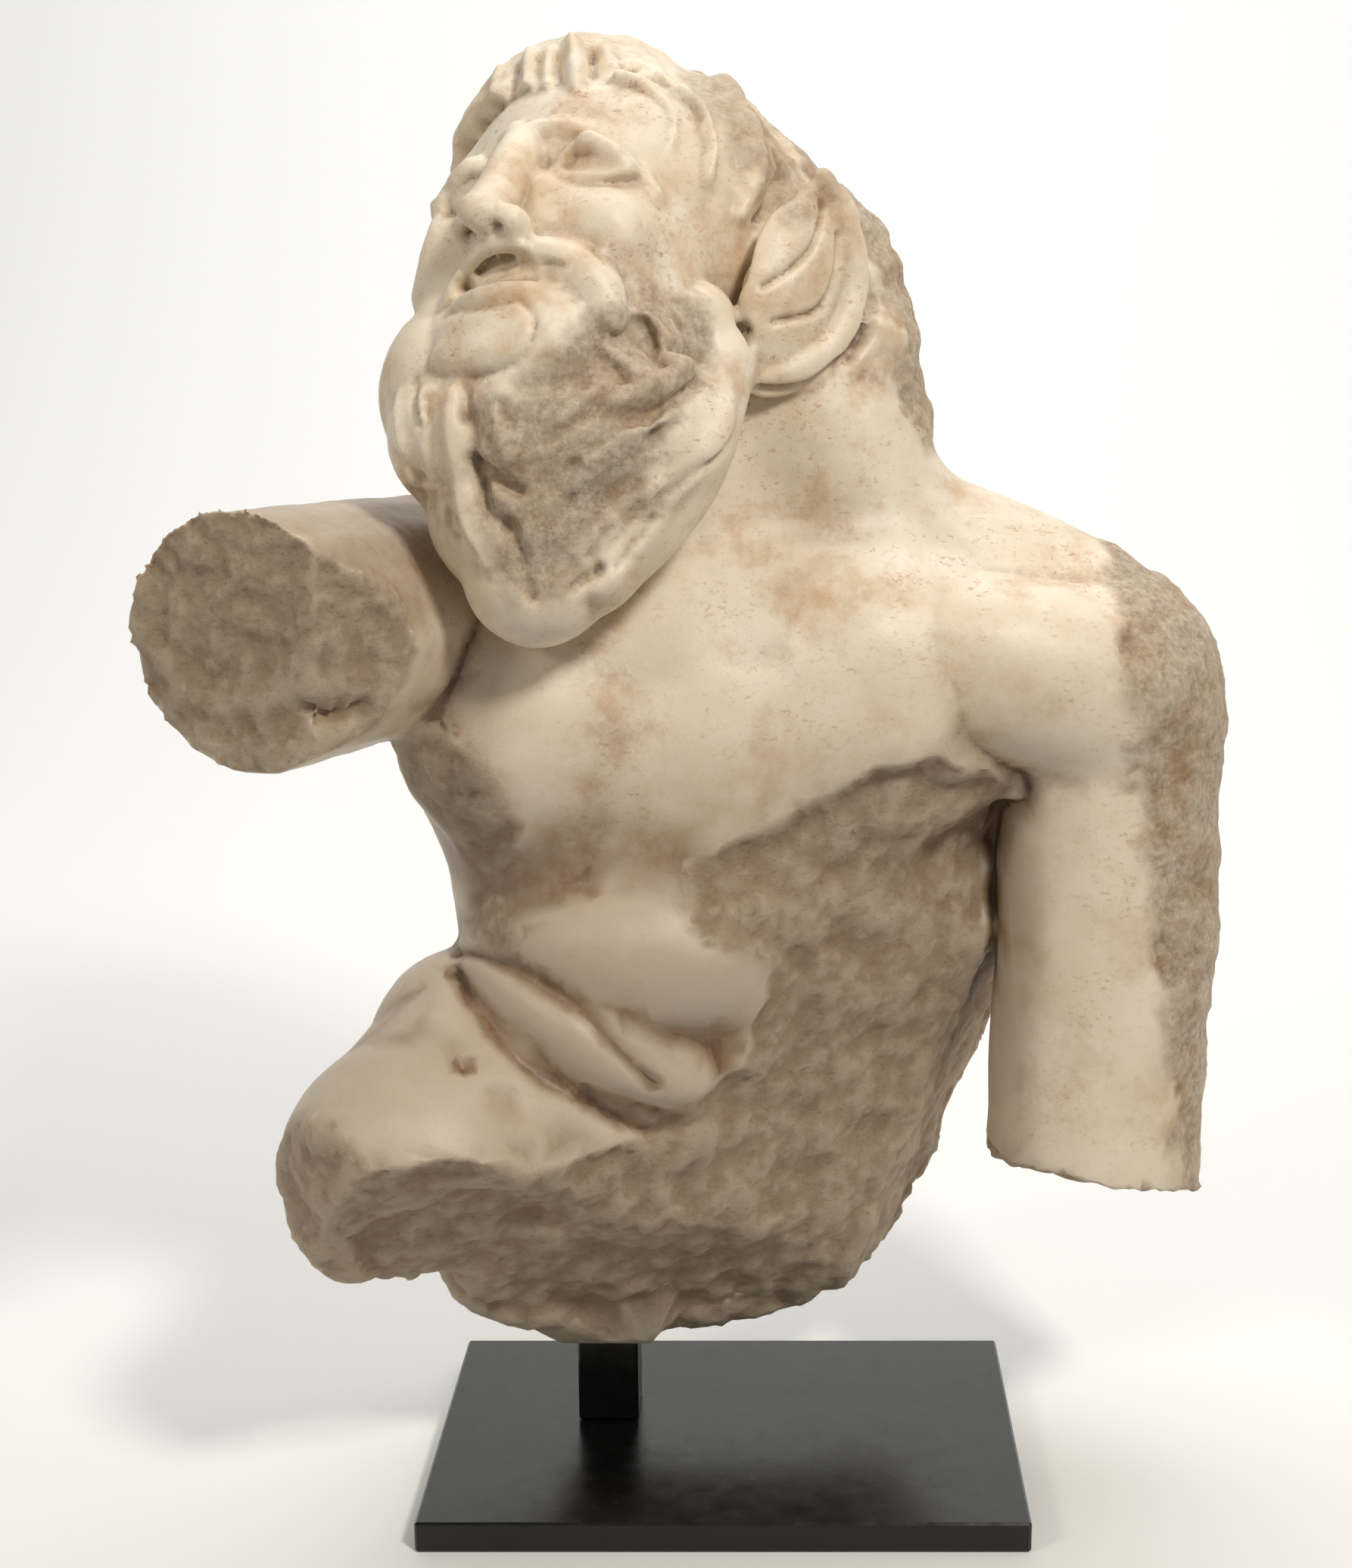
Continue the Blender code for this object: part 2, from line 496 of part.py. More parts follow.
def make_beard():
    """A broad beard: upright locks on the viewer's left, lobes that sweep to its tip on the right."""
    clay = Clay()
    clay.ball((-36, -34, 272), (40, 26, 26))
    clay.ball((-60, -24, 281), (19, 21, 22))
    clay.ball((-38, -39, 256), (29, 21, 23))
    clay.ball((-40, -46, 240), (14, 13, 16))
    clay.ball((-33, -38, 288), (24, 14, 13))
    clay.rope([(-3, -21, 286), (-11, -34, 262), (-24, -45, 240)], [12, 13, 12])
    beard = clay.fused("beard", FACE_VOXEL * 1.3, 20)
    carve(beard, BEARD_LOBES)
    carve(beard, BEARD_CUTS)
    return beard


def make_figure():
    """The whole marble as one fused skin, in drawn millimetres."""
    body = Clay()
    for part in (make_torso(), make_belly_roll(), make_lap()):
        body.add(part)
    body = body.fused("body", CLAY_VOXEL, 4)
    trim(body, (-16, -56, 108), (0.198, -0.760, -0.619), 22, 1.5, seed=6)
    break_away(body, FLANK_BREAK, 3.0, 16, 1.5, seed=7)
    hair = make_hair()
    face = make_face(make_skull())
    clay = Clay()
    clay.add(body)
    for part in (make_left_arm(), make_right_arm(), make_nape(), hair, face, make_ear(), make_beard()):
        clay.add(part)
    figure = clay.fused("marble_satyr", FIGURE_VOXEL, 1)
    carve(figure, BODY_CUTS + EAR_CUTS)
    return figure


def closed_skin(mesh, triangles):
    """The figure with about that many triangles, which still close round one body."""
    now = sum(len(face.vertices) - 2 for face in mesh.polygons)
    heights = points_of(mesh)[:, 2]
    plain = np.clip((NECK_HEIGHT - heights) / NECK_BLEND, HEAD_WEIGHT, 1)
    carrier = bpy.data.objects.new("weights", mesh)
    group = carrier.vertex_groups.new(name="plain")
    for weight in np.unique(plain.round(1)):
        group.add(np.flatnonzero(plain.round(1) == weight).tolist(), float(weight), "REPLACE")
    settings = {"ratio": triangles / now, "vertex_group": "plain", "vertex_group_factor": 1.0}
    return evaluated("marble_satyr", mesh, [("DECIMATE", settings), ("TRIANGULATE", {})], carrier)


def seated(mesh):
    """Drawn millimetres to metres, at the figure's own height, with its seat on the post's top."""
    scale = FIGURE_HEIGHT / DRAWN_HEIGHT
    seat = Vector((POST_X, POST_Y, PLATE_THICKNESS + POST_HEIGHT + TOUCH_GAP))
    mesh.transform(Matrix.Translation(seat) @ Matrix.Scale(scale, 4)
                   @ Matrix.Translation(-Vector(DRAWN_SEAT)))


def flat_seat(mesh, blend):
    """Flattens the underside over the post's top, out to a margin past the post's sides."""
    places = points_of(mesh)
    half = (POST_SIDE / 2 + SEAT_MARGIN) * DRAWN_HEIGHT / FIGURE_HEIGHT
    apart = np.abs(places[:, :2] - DRAWN_SEAT[:2]).max(axis=1) - half
    share = np.clip(1 - apart / blend, 0, 1)
    low = (places[:, 2] < DRAWN_SEAT[2] + SEAT_REACH) & (share > 0)
    places[low, 2] += share[low] * (DRAWN_SEAT[2] - places[low, 2])
    set_points(mesh, places)


def add_figure(scene):
    mesh = make_figure()
    flat_seat(mesh, SEAT_BLEND)
    mesh = closed_skin(mesh, SOLID_TRIANGLES)
    seated(mesh)
    mesh.materials.append(material("marble", (0.72, 0.62, 0.48), 0.5, 0.0))
    mesh.shade_smooth()
    mesh.set_sharp_from_angle(angle=math.radians(50))
    figure = bpy.data.objects.new("marble_satyr", mesh)
    scene.collection.objects.link(figure)
    return figure


def bar(scene, name, size, centre, bevel, finish):
    """A square-edged steel piece with small bevels on its edges."""
    bm = bmesh.new()
    bmesh.ops.create_cube(bm, size=1.0, matrix=Matrix.Diagonal((*size, 1)))
    bmesh.ops.bevel(bm, geom=bm.edges[:], offset=bevel, segments=1, affect="EDGES")
    mesh = bpy.data.meshes.new(name)
    bm.to_mesh(mesh)
    bm.free()
    mesh.materials.append(finish)
    piece = bpy.data.objects.new(name, mesh)
    piece.location = centre
    scene.collection.objects.link(piece)
    return piece


def main():
    scene = bpy.context.scene
    for old in list(bpy.data.objects):
        bpy.data.objects.remove(old)
    black = material("black_paint", (0.012, 0.012, 0.013), 0.4, 0.0)
    bar(scene, "base_plate", (PLATE_WIDTH, PLATE_DEPTH, PLATE_THICKNESS), (0, 0, PLATE_THICKNESS / 2),
        PLATE_EDGE_BEVEL, black)
    post_length = POST_HEIGHT - TOUCH_GAP
    bar(scene, "square_post", (POST_SIDE, POST_SIDE, post_length),
        (POST_X, POST_Y, PLATE_THICKNESS + TOUCH_GAP + post_length / 2), POST_EDGE_BEVEL, black)
    add_figure(scene)


main()
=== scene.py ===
"""The looks of a broken marble satyr on its black steel post and plate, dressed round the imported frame.

The marble is drawn in millimetres, in the figure's own frame: x to the viewer's right, y to the back and
z up. It is fused from soft masses, carved by the height of its skin and then set on the post in metres.
"""
import json
import math

import bmesh
import bpy
import numpy as np
from mathutils import Matrix, Vector, noise
from mathutils.bvhtree import BVHTree

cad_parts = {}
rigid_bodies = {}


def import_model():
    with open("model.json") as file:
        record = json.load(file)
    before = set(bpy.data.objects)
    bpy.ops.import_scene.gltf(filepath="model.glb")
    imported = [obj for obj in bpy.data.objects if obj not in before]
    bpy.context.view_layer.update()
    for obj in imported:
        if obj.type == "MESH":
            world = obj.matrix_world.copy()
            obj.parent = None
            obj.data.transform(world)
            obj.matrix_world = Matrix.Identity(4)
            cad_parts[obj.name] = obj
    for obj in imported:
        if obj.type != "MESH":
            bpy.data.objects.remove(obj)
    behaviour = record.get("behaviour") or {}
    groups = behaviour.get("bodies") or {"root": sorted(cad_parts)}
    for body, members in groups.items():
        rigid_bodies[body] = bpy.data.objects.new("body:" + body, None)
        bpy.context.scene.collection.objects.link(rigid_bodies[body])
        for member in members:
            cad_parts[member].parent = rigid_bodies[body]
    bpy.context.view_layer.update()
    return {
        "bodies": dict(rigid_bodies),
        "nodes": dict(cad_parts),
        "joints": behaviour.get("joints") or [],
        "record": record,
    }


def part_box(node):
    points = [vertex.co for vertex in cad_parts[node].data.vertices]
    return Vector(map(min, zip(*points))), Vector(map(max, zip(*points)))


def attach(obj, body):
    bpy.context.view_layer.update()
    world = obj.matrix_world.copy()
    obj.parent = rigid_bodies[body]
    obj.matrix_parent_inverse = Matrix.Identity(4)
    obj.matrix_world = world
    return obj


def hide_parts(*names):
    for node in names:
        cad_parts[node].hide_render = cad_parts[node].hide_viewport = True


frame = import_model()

MM = 0.001
# The marble stands this far above the post, as the two solids do.
TOUCH_GAP = 0.3 * MM

# The flat under the marble that stands on the post's top, in drawn millimetres like all shapes here.
DRAWN_SEAT = (-32.0, 10.0, 32.3)
SEAT_MARGIN = 4.0
SEAT_BLEND = 7.0
SEAT_REACH = 16.0

# The grid that each kind of clay is fused on, and how the marble's triangles are shared out.
CLAY_VOXEL = 2.0
FACE_VOXEL = 0.9
FIGURE_VOXEL = 0.85
MARBLE_TRIANGLES = 190000
NECK_HEIGHT = 250.0
NECK_BLEND = 30.0
HEAD_WEIGHT = 0.45

# The hanging arm, which covers part of the broken flank: its axis in X and Y, its reach and its end.
ARM_AXIS = (97.0, 6.0)
ARM_REACH = 31.5
ARM_END = 88.0

# The paper under and behind the figure, in metres.
PAPER_HALF_WIDTH = 3.0
PAPER_FRONT = -0.16
PAPER_BACK = 2.0
PAPER_HEIGHT = 3.0
PAPER_CURVE = 1.2

# The head's own frame: its centre in the figure's frame, and its turns in degrees.
HEAD_CENTRE = (-27.0, 2.0, 305.0)
HEAD_TURN = 34.0
HEAD_LIFT = 33.0
HEAD_TILT = 13.0

# The camera: its place in metres, its dip in degrees, its lens in mm and its shift as a share.
CAMERA_PLACE = (0.0151, -0.5654, 0.3043)
CAMERA_DIP = 12.06
CAMERA_LENS = 52.65
CAMERA_SHIFT = -0.069

# Broken faces: a point on each and the way it looks, then with how far it reaches.
RIGHT_ARM_END = ((-107, -60, 230), (-0.40, -0.91, -0.05))
RIGHT_ARM_LEDGE = ((-88, -68, 228), (0.62, -0.78, -0.10))
LEFT_ARM_END = ((96, 2, 80), (-0.14, -0.20, -0.97))
KNEE_END = ((-92, -63, 100), (-0.72, -0.69, -0.05))
LAP_UNDERSIDE = ((-16, -56, 108), (0.198, -0.760, -0.619))
BREAKS = [(*RIGHT_ARM_END, 36), (*RIGHT_ARM_LEDGE, 24), (*LEFT_ARM_END, 60), (*KNEE_END, 24),
          (*LAP_UNDERSIDE, 110)]

# Outlines in X and Z of the broken flank, of the break and chip at the ribs and of chips in the hair and
# beard. The face's outline is in the head's frame.
FLANK_BREAK = [(-9, 171), (5, 178), (25, 188), (36, 194), (52, 196), (72, 186), (84, 120), (80, 60),
               (40, 30), (-60, 44), (-88, 60), (-89, 86), (-74, 95), (-59, 100), (-36, 101), (-19, 105),
               (5, 120), (10, 135), (12, 146), (1, 152), (-8, 157)]
RIB_BREAK = [(-75, 202), (-67, 205), (-60, 200), (-51, 193), (-48, 180), (-52, 171), (-62, 163), (-67, 176),
             (-76, 187), (-84, 199)]
RIB_CHIP = [(-63, 159), (-51, 160), (-48, 154), (-50, 148), (-60, 149), (-58, 155)]
CROWN_CHIP = [(-14, 364), (-8, 350), (0, 340), (8, 330), (13, 318), (22, 318), (34, 330), (20, 352),
              (4, 368)]
BEARD_CHIP = [(-56, 284), (-46, 284), (-36, 296), (-26, 303), (-12, 309), (0, 304), (2, 288), (-10, 270),
              (-22, 252), (-34, 238), (-46, 234), (-54, 250), (-56, 268)]
FACE_OUTLINE = [(-44, 24), (-34, 30), (-21, 33), (-5, 32), (5, 28.5), (14, 26), (20, 21), (26, 16),
                (31, 11), (36, 6), (40, 2), (40, -60), (-44, -60)]

# Joints between masses that are eased: the centre and the reach of each.
MELTED = [((72, -22, 214), 26), ((46, -6, 238), 22), ((38, 6, 262), 16), ((-70, -28, 206), 14),
          ((-6, -46, 118), 16), ((-14, -34, 306), 12)]

# Strokes of the chisel, each with its points, its half widths and its depth, which is negative where it
# leaves a ridge. The hair and face are in the head's frame, the others in the figure's.
BODY_CUTS = [
    ([(-68, -11, 143), (-59, -28, 147), (-49, -39, 146), (-34, -46, 139), (-24, -49, 129), (-16, -46, 120)],
     [2.4, 3.4, 4, 4, 3.6, 2.4], 2.2),
    ([(-67, -18, 140), (-61, -32, 137), (-48, -45, 127), (-31, -45, 115), (-16, -38, 104)],
     [2.4, 3.4, 4, 4, 3], 2.6),
    ([(-60, -18, 159), (-51, -29, 161), (-42, -34, 164), (-33, -36, 168)], [7, 8, 8, 7], 1.2),
    ([(-60, -51, 128), (-60, -51, 127.4)], [3, 3], 2.4),
    ([(-90, -67, 214), (-84, -64, 212), (-77, -62, 213)], [3, 4, 3], 3.0),
]
BEARD_LOBES = [
    ([(-29, -50, 297), (-22, -52, 292), (-16, -52, 286)], [3.4, 4, 3.4], -2.2),
    ([(-15, -44, 301), (-10, -46, 295), (-8, -46, 288)], [3, 3.6, 3], -2.2),
    ([(2, -37, 281), (-3, -48, 269), (-11, -54, 256), (-19, -58, 246), (-24, -59, 238)],
     [5, 5, 5, 5, 4], -2.5),
    ([(-7, -43, 287), (-14, -52, 284), (-22, -56, 281)], [3.5, 3.5, 3], -2.5),
    ([(-12, -55, 277), (-20, -59, 274), (-28, -61, 269)], [3.2, 3.5, 3], -2.2),
    ([(-15, -59, 271), (-22, -60, 267), (-30, -61, 262)], [3, 3.2, 3], -2.1),
    ([(-13, -56, 262), (-20, -59, 255), (-28, -60, 247)], [4, 4, 3], -2.1),
    ([(-66, -50, 284), (-66, -56, 270), (-63, -56, 258)], [2.6, 2.6, 2.4], -1.7),
    ([(-59, -55, 284), (-59, -58, 270), (-57, -58, 256), (-52, -58, 245)], [2.8, 2.8, 2.6, 2.4], -1.7),
    ([(-72, -42, 282), (-71, -48, 270), (-69, -48, 262)], [2.4, 2.4, 2], -1.4),
    ([(-47, -58, 284), (-48, -61, 277), (-46, -62, 270)], [3.4, 3.6, 3], -1.7),
]
BEARD_CUTS = [
    ([(-33, -50, 298), (-26, -52, 292), (-20, -52, 285)], [1.6, 2.2, 1.8], 2.5),
    ([(-20, -46, 302), (-15, -48, 296), (-12, -48, 289)], [1.6, 2.4, 1.8], 2.8),
    ([(-10, -38, 303), (-6, -38, 297), (-5, -37, 291)], [1.4, 1.8, 1.4], 2.0),
    ([(-68, -43, 286), (-67, -54, 273), (-65, -54, 261), (-59, -56, 250)], [1.0, 1.3, 1.3, 0.9], 2.0),
    ([(-64, -53, 284), (-63, -56, 269), (-60, -56, 256), (-55, -57, 246)], [1.0, 1.3, 1.3, 0.9], 2.2),
    ([(-55, -54, 285), (-54, -58, 273), (-53, -58, 265), (-51, -59, 256)], [1.4, 1.9, 2.2, 1.4], 2.8),
    ([(-73, -43, 270), (-68, -52, 264), (-67, -44, 257)], [1.0, 1.3, 1.0], 1.8),
    ([(-54, -57, 269), (-49, -59, 265), (-43, -60, 262)], [1.8, 2.4, 1.6], 3.2),
    ([(-52, -58, 264), (-50, -59, 258), (-46, -62, 253)], [1.4, 2.2, 1.6], 2.5),
    ([(-46, -62, 255), (-43, -60, 247), (-41, -58, 238)], [1.6, 2.2, 1.6], 2.2),
    ([(-4, -41, 285), (-8, -48, 282), (-13, -54, 279), (-18, -57, 277)], [1.8, 2.4, 1.8, 1.2], 4.5),
    ([(-24, -55, 283), (-29, -58, 278), (-37, -59, 273)], [1.2, 1.8, 1.3], 2.2),
    ([(-19, -58, 277), (-26, -60, 272), (-32, -60, 267)], [1.2, 1.8, 1.3], 2.2),
    ([(-7, -54, 277), (-12, -58, 272), (-17, -60, 269), (-22, -60, 266), (-29, -60, 262), (-33, -60, 258)],
     [1.4, 1.8, 1.8, 1.8, 1.6, 1.2], 2.5),
    ([(-22, -60, 253), (-26, -59, 246), (-32, -58, 239)], [1.4, 2, 1.4], 3.0),
    ([(2, -41, 271), (-7, -54, 263), (-16, -57, 252), (-21, -59, 245)], [1.6, 2.2, 2.2, 1.4], 2.2),
    ([(-47, -57, 281), (-45, -59, 277)], [1.8, 1.8], 3.0),
    ([(-34, -56, 290), (-29, -56, 286)], [1.6, 1.6], 1.8),
    ([(-27, -52, 299), (-22, -41, 295), (-13, -43, 291), (-5, -33, 289)], [1.6, 2, 2, 1.4], 1.5),
]
EAR_CUTS = [
    ([(20, 2, 340), (19, 2, 334), (14, -2, 326), (9, -11, 317), (5, -17, 309), (3, -17, 300),
      (2, -22, 291)],
     [2, 2.6, 3, 3, 2.8, 2.4, 1.8], 5.0),
    ([(23, -6, 325), (19, -10, 315), (14, -15, 309), (10, -20, 306)], [1.2, 1.4, 1.4, 1.1], 1.6),
    ([(28, -6, 318), (25, -7, 308), (20, -10, 301), (13, -21, 298)], [1.2, 1.6, 1.6, 1.3], 1.8),
    ([(33, 0, 320), (34, 3, 306), (32, 1, 295), (27, -9, 288), (20, -14, 283), (10, -21, 280)],
     [2, 2.6, 2.8, 2.6, 2.4, 2], 3.5),
]
HAIR_LOBES = [
    ([(-15, -38, 42), (-14, -38, 34)], [3.4, 3], -1.6),
    ([(-5, -40, 44), (-4, -39, 32)], [2.6, 2.6], -1.9),
    ([(0, -39, 44), (2, -39, 30)], [2.2, 2.2], -1.5),
    ([(5, -37, 46), (8, -38, 38), (10, -38, 27)], [3.4, 3.6, 3.2], -3.2),
    ([(13, -34, 44), (16, -34, 37), (19, -34, 29)], [2.4, 2.8, 2], -1.6),
    ([(17, -32, 32), (21, -29, 33), (26, -26, 30), (28.5, -24, 26), (29, -24, 20), (27, -23, 16)],
     [1.8, 2.4, 2.6, 2.6, 2.4, 1.8], -3.8),
    ([(24, -26, 38), (31, -22, 34), (35, -18, 27), (36, -16, 20), (34, -15, 13)], [3, 4, 4.6, 4.2, 3],
     -4.0),
    ([(33, -10, 48), (41, -8, 36), (43, -6, 26), (43, -5, 16), (39, -5, 9)], [5, 5, 5, 4.4, 3.4], -3.5),
]
HAIR_CUTS = [
    ([(-8, -40, 40), (-9, -38, 33)], [1.1, 1.2], 2.0),
    ([(-2, -39, 41), (-1, -39, 31)], [0.9, 1.0], 1.5),
    ([(2, -38, 40), (4, -38, 34), (6, -39, 26)], [1.0, 1.2, 1.4], 2.8),
    ([(10, -35, 44), (13, -36, 33), (14, -36, 24)], [1.0, 1.2, 1.4], 2.8),
    ([(19, -33, 29), (22, -30, 24), (25, -26, 19)], [1.8, 2.2, 1.6], 1.8),
    ([(16, -33, 35), (22, -28, 36), (28, -24, 33), (31.5, -22, 27), (32, -21, 20), (29.5, -21, 14)],
     [1.2, 1.4, 1.6, 1.6, 1.5, 1.2], 3.2),
    ([(18, -32, 38), (26, -26, 41), (33, -20, 39), (38, -16, 31), (40, -14, 24), (39, -12, 16),
      (36, -10, 9)],
     [1.2, 1.5, 1.7, 1.7, 1.7, 1.6, 1.3], 3.2),
]
FACE_CUTS = [
    ([(-9, -43.5, -26), (-3, -45.5, -25.4), (4, -45.5, -24.9), (9.5, -44, -25.4)],
     [1.7, 2.9, 3.2, 2.1], 12.0),
    ([(8, -44, -25.4), (13, -43, -25.0), (18, -41, -24.6)], [1.6, 1.3, 0.9], 1.6),
    ([(-8, -43, -26.2), (-13, -40, -28), (-19, -37, -29)], [1.4, 1.2, 0.9], 1.2),
    ([(4.6, -50, -18.8), (4.6, -50.5, -18.4)], [1.7, 1.7], 4.0),
    ([(-3.4, -50, -18.8), (-3.4, -50.5, -18.4)], [1.7, 1.7], 4.0),
    ([(-13, -40, -31.5), (0, -44.5, -34.2), (9, -42, -33)], [1.3, 1.5, 1.3], 1.3),
    ([(10, -43, -34), (12.8, -41, -38), (12.6, -41, -43), (9, -41, -48), (0, -42, -51), (-11, -40, -50)],
     [1.0, 1.2, 1.3, 1.3, 1.3, 1.0], 1.7),
    ([(9.5, -45, -15.5), (11.5, -41, -12), (16, -40, -13), (21, -38, -16), (26, -36, -21)],
     [0.9, 1.0, 1.2, 1.2, 1.0], 0.8),
    ([(2, -39, 17), (8, -41, 17), (16, -40, 15), (23, -36, 11.5), (28, -32, 7.5), (31, -27, 3)],
     [2.6, 3.2, 3.4, 3.4, 3, 2.4], -2.2),
    ([(-2, -39, 17), (-8, -41, 17), (-16, -40, 14), (-23, -36, 10), (-28, -31, 5)],
     [2.6, 3.2, 3.4, 3.2, 2.4], -2.2),
    ([(8, -39, 10), (11, -39.5, 12.8), (15.5, -40, 13.8), (20, -38, 12), (25, -34, 8)],
     [1.0, 1.2, 1.3, 1.2, 1.0], 0.9),
    ([(7, -37, 7), (11, -38, 10), (15.5, -39, 11), (20, -37.5, 9.2), (25, -33.5, 5.4)],
     [0.9, 1.0, 1.0, 1.0, 0.9], -0.9),
    ([(8, -37, 6.4), (11, -37.5, 3.6), (16, -38, 2.2), (20.5, -36, 2.8), (24.5, -33, 5)],
     [0.8, 0.9, 0.9, 0.9, 0.8], -1.0),
    ([(10, -38, 1.4), (16, -38, -0.6), (21, -36, 0.4)], [1.0, 1.2, 1.0], 1.0),
    ([(-8, -39, 10), (-11, -39.5, 13), (-15.5, -40, 14), (-20, -38, 12)], [1.0, 1.2, 1.3, 1.0], 0.9),
    ([(-7, -37, 8), (-11, -38, 11), (-15.5, -39, 12), (-20, -37.5, 10)], [0.9, 1.0, 1.0, 0.9], -0.9),
]


def select_only(*pieces):
    """Selects these pieces and nothing else, and makes the first of them active."""
    bpy.ops.object.select_all(action="DESELECT")
    for piece in pieces:
        piece.select_set(True)
    bpy.context.view_layer.objects.active = pieces[0]


def head_matrix():
    """Head frame to figure frame: x to the head's left, y to the back of the head, z to its crown."""
    turn = Matrix.Rotation(math.radians(-HEAD_TURN), 4, "Z")
    lift = Matrix.Rotation(math.radians(-HEAD_LIFT), 4, "X")
    tilt = Matrix.Rotation(math.radians(-HEAD_TILT), 4, "Y")
    return Matrix.Translation(HEAD_CENTRE) @ turn @ lift @ tilt


class Clay:
    """Closed shells that overlap, in drawn millimetres, to be fused into one skin."""

    def __init__(self, frame=None):
        self.shells = []
        self.frame = frame or Matrix.Identity(4)

    def ball(self, centre, radii, turn=(0, 0, 0)):
        """An ellipsoid. turn is in degrees about X, Y and Z, in the frame of this clay."""
        spin = Matrix.Identity(4)
        for axis, angle in zip("XYZ", turn):
            spin = Matrix.Rotation(math.radians(angle), 4, axis) @ spin
        bpy.ops.object.select_all(action="DESELECT")
        bpy.ops.mesh.primitive_ico_sphere_add(subdivisions=4, radius=1.0)
        shell = bpy.context.object
        shell.matrix_world = self.frame @ Matrix.Translation(centre) @ spin @ Matrix.Diagonal((*radii, 1))
        self.shells.append(shell)

    def rope(self, points, radii):
        """A round bar along a smooth curve through the points, with a radius at each and round ends."""
        bpy.ops.object.select_all(action="DESELECT")
        bpy.ops.curve.primitive_bezier_curve_add()
        curve = bpy.context.object
        curve.matrix_world = self.frame
        curve.data.bevel_depth = 1.0
        curve.data.bevel_resolution = 5
        curve.data.resolution_u = 10
        curve.data.use_fill_caps = True
        spline = curve.data.splines[0]
        spline.bezier_points.add(len(points) - 2)
        for knot, place, radius in zip(spline.bezier_points, points, radii):
            knot.handle_left_type = "AUTO"
            knot.handle_right_type = "AUTO"
            knot.co = place
            knot.radius = radius
        bpy.ops.object.convert(target="MESH")
        self.shells.append(bpy.context.object)
        for place, radius in ((points[0], radii[0]), (points[-1], radii[-1])):
            self.ball(place, (radius, radius, radius))

    def add(self, piece):
        """Takes in a piece that is already fused."""
        self.shells.append(piece)

    def fused(self, name, voxel, soften):
        """One skin round all the shells, with its creases eased by some rounds of smoothing."""
        select_only(*self.shells)
        bpy.ops.object.convert(target="MESH")
        if len(self.shells) > 1:
            bpy.ops.object.join()
        bpy.ops.object.transform_apply(location=True, rotation=True, scale=True)
        piece = bpy.context.object
        piece.name = name
        apply_modifier(piece, "REMESH", mode="VOXEL", voxel_size=voxel)
        apply_modifier(piece, "SMOOTH", factor=0.5, iterations=soften)
        return piece


def apply_modifier(piece, kind, **settings):
    """Adds a modifier with these settings and applies it."""
    select_only(piece)
    modifier = piece.modifiers.new(kind.title(), kind)
    for setting, value in settings.items():
        setattr(modifier, setting, value)
    bpy.ops.object.modifier_apply(modifier=modifier.name)


def points_of(piece):
    """The places of the piece's points, one row each."""
    places = np.empty(len(piece.data.vertices) * 3, np.float32)
    piece.data.vertices.foreach_get("co", places)
    return places.reshape(-1, 3).astype(float)


def set_points(piece, places):
    """Moves the piece's points to these places."""
    piece.data.vertices.foreach_set("co", places.astype(np.float32).ravel())
    piece.data.update()


def normals_of(piece):
    """The way the skin looks at each of the piece's points."""
    normals = np.empty(len(piece.data.vertices) * 3, np.float32)
    piece.data.vertices.foreach_get("normal", normals)
    return normals.reshape(-1, 3).astype(float)


def skin_of(piece):
    """A search tree of the piece's faces, for finding the nearest place on its skin."""
    shell = bmesh.new()
    shell.from_mesh(piece.data)
    tree = BVHTree.FromBMesh(shell)
    shell.free()
    return tree


def along(points, radii):
    """Places and radii of balls that lie close together on a Catmull-Rom curve."""
    knots = [Vector(p) for p in points]
    knots = [knots[0] * 2 - knots[1]] + knots + [knots[-1] * 2 - knots[-2]]
    for i in range(len(points) - 1):
        a, b, c, d = knots[i:i + 4]
        pace = max(0.35 * min(radii[i], radii[i + 1]), 0.6)
        steps = max(2, math.ceil((c - b).length / pace))
        for step in range(steps):
            t = step / steps
            place = 0.5 * (2 * b + (c - a) * t + (2 * a - 5 * b + 4 * c - d) * t ** 2
                           + (3 * b - a - 3 * c + d) * t ** 3)
            yield place, radii[i] + (radii[i + 1] - radii[i]) * t
    yield Vector(points[-1]), radii[-1]


def bumps(places, size, depth, seed):
    """Fractal noise of that depth at each place, with features about that size."""
    shift = Vector((seed * 7.3, seed * 3.1, seed * 5.7))
    heights = [noise.fractal(Vector(p) / size + shift, 0.9, 2.1, 4) for p in places]
    return depth * np.array(heights)


def trim(piece, origin, normal, size, depth, seed):
    """Planes away what stands past a plane, and leaves a rough break there."""
    places = points_of(piece)
    normal = np.array(Vector(normal).normalized())
    past = (places - np.array(origin, float)) @ normal
    index = np.flatnonzero(past > -3 * depth - 1)
    flat = places[index] - past[index][:, None] * normal
    past = past[index] - bumps(flat, size, depth, seed)
    places[index] -= np.clip(past, 0, None)[:, None] * normal
    set_points(piece, places)


def carve(piece, strokes, frame=None):
    """Soft grooves along lines on the skin, each with its points, widths and depth."""
    frame = frame or Matrix.Identity(4)
    skin = skin_of(piece)
    places = points_of(piece)
    normals = normals_of(piece)
    sunk = np.zeros(len(places))
    for points, widths, depth in strokes:
        line = list(along([frame @ Vector(p) for p in points], widths))
        centres = np.array([skin.find_nearest(centre)[0] for centre, width in line])
        spans = np.array([width for centre, width in line])
        reach = 2.2 * spans.max()
        near = (places > centres.min(0) - reach) & (places < centres.max(0) + reach)
        index = np.flatnonzero(np.all(near, axis=1))
        apart = np.linalg.norm(places[index][:, None] - centres[None], axis=2) / spans[None]
        sunk[index] += depth * np.exp(-2.0 * apart.min(1) ** 2)
    set_points(piece, places - sunk[:, None] * normals)


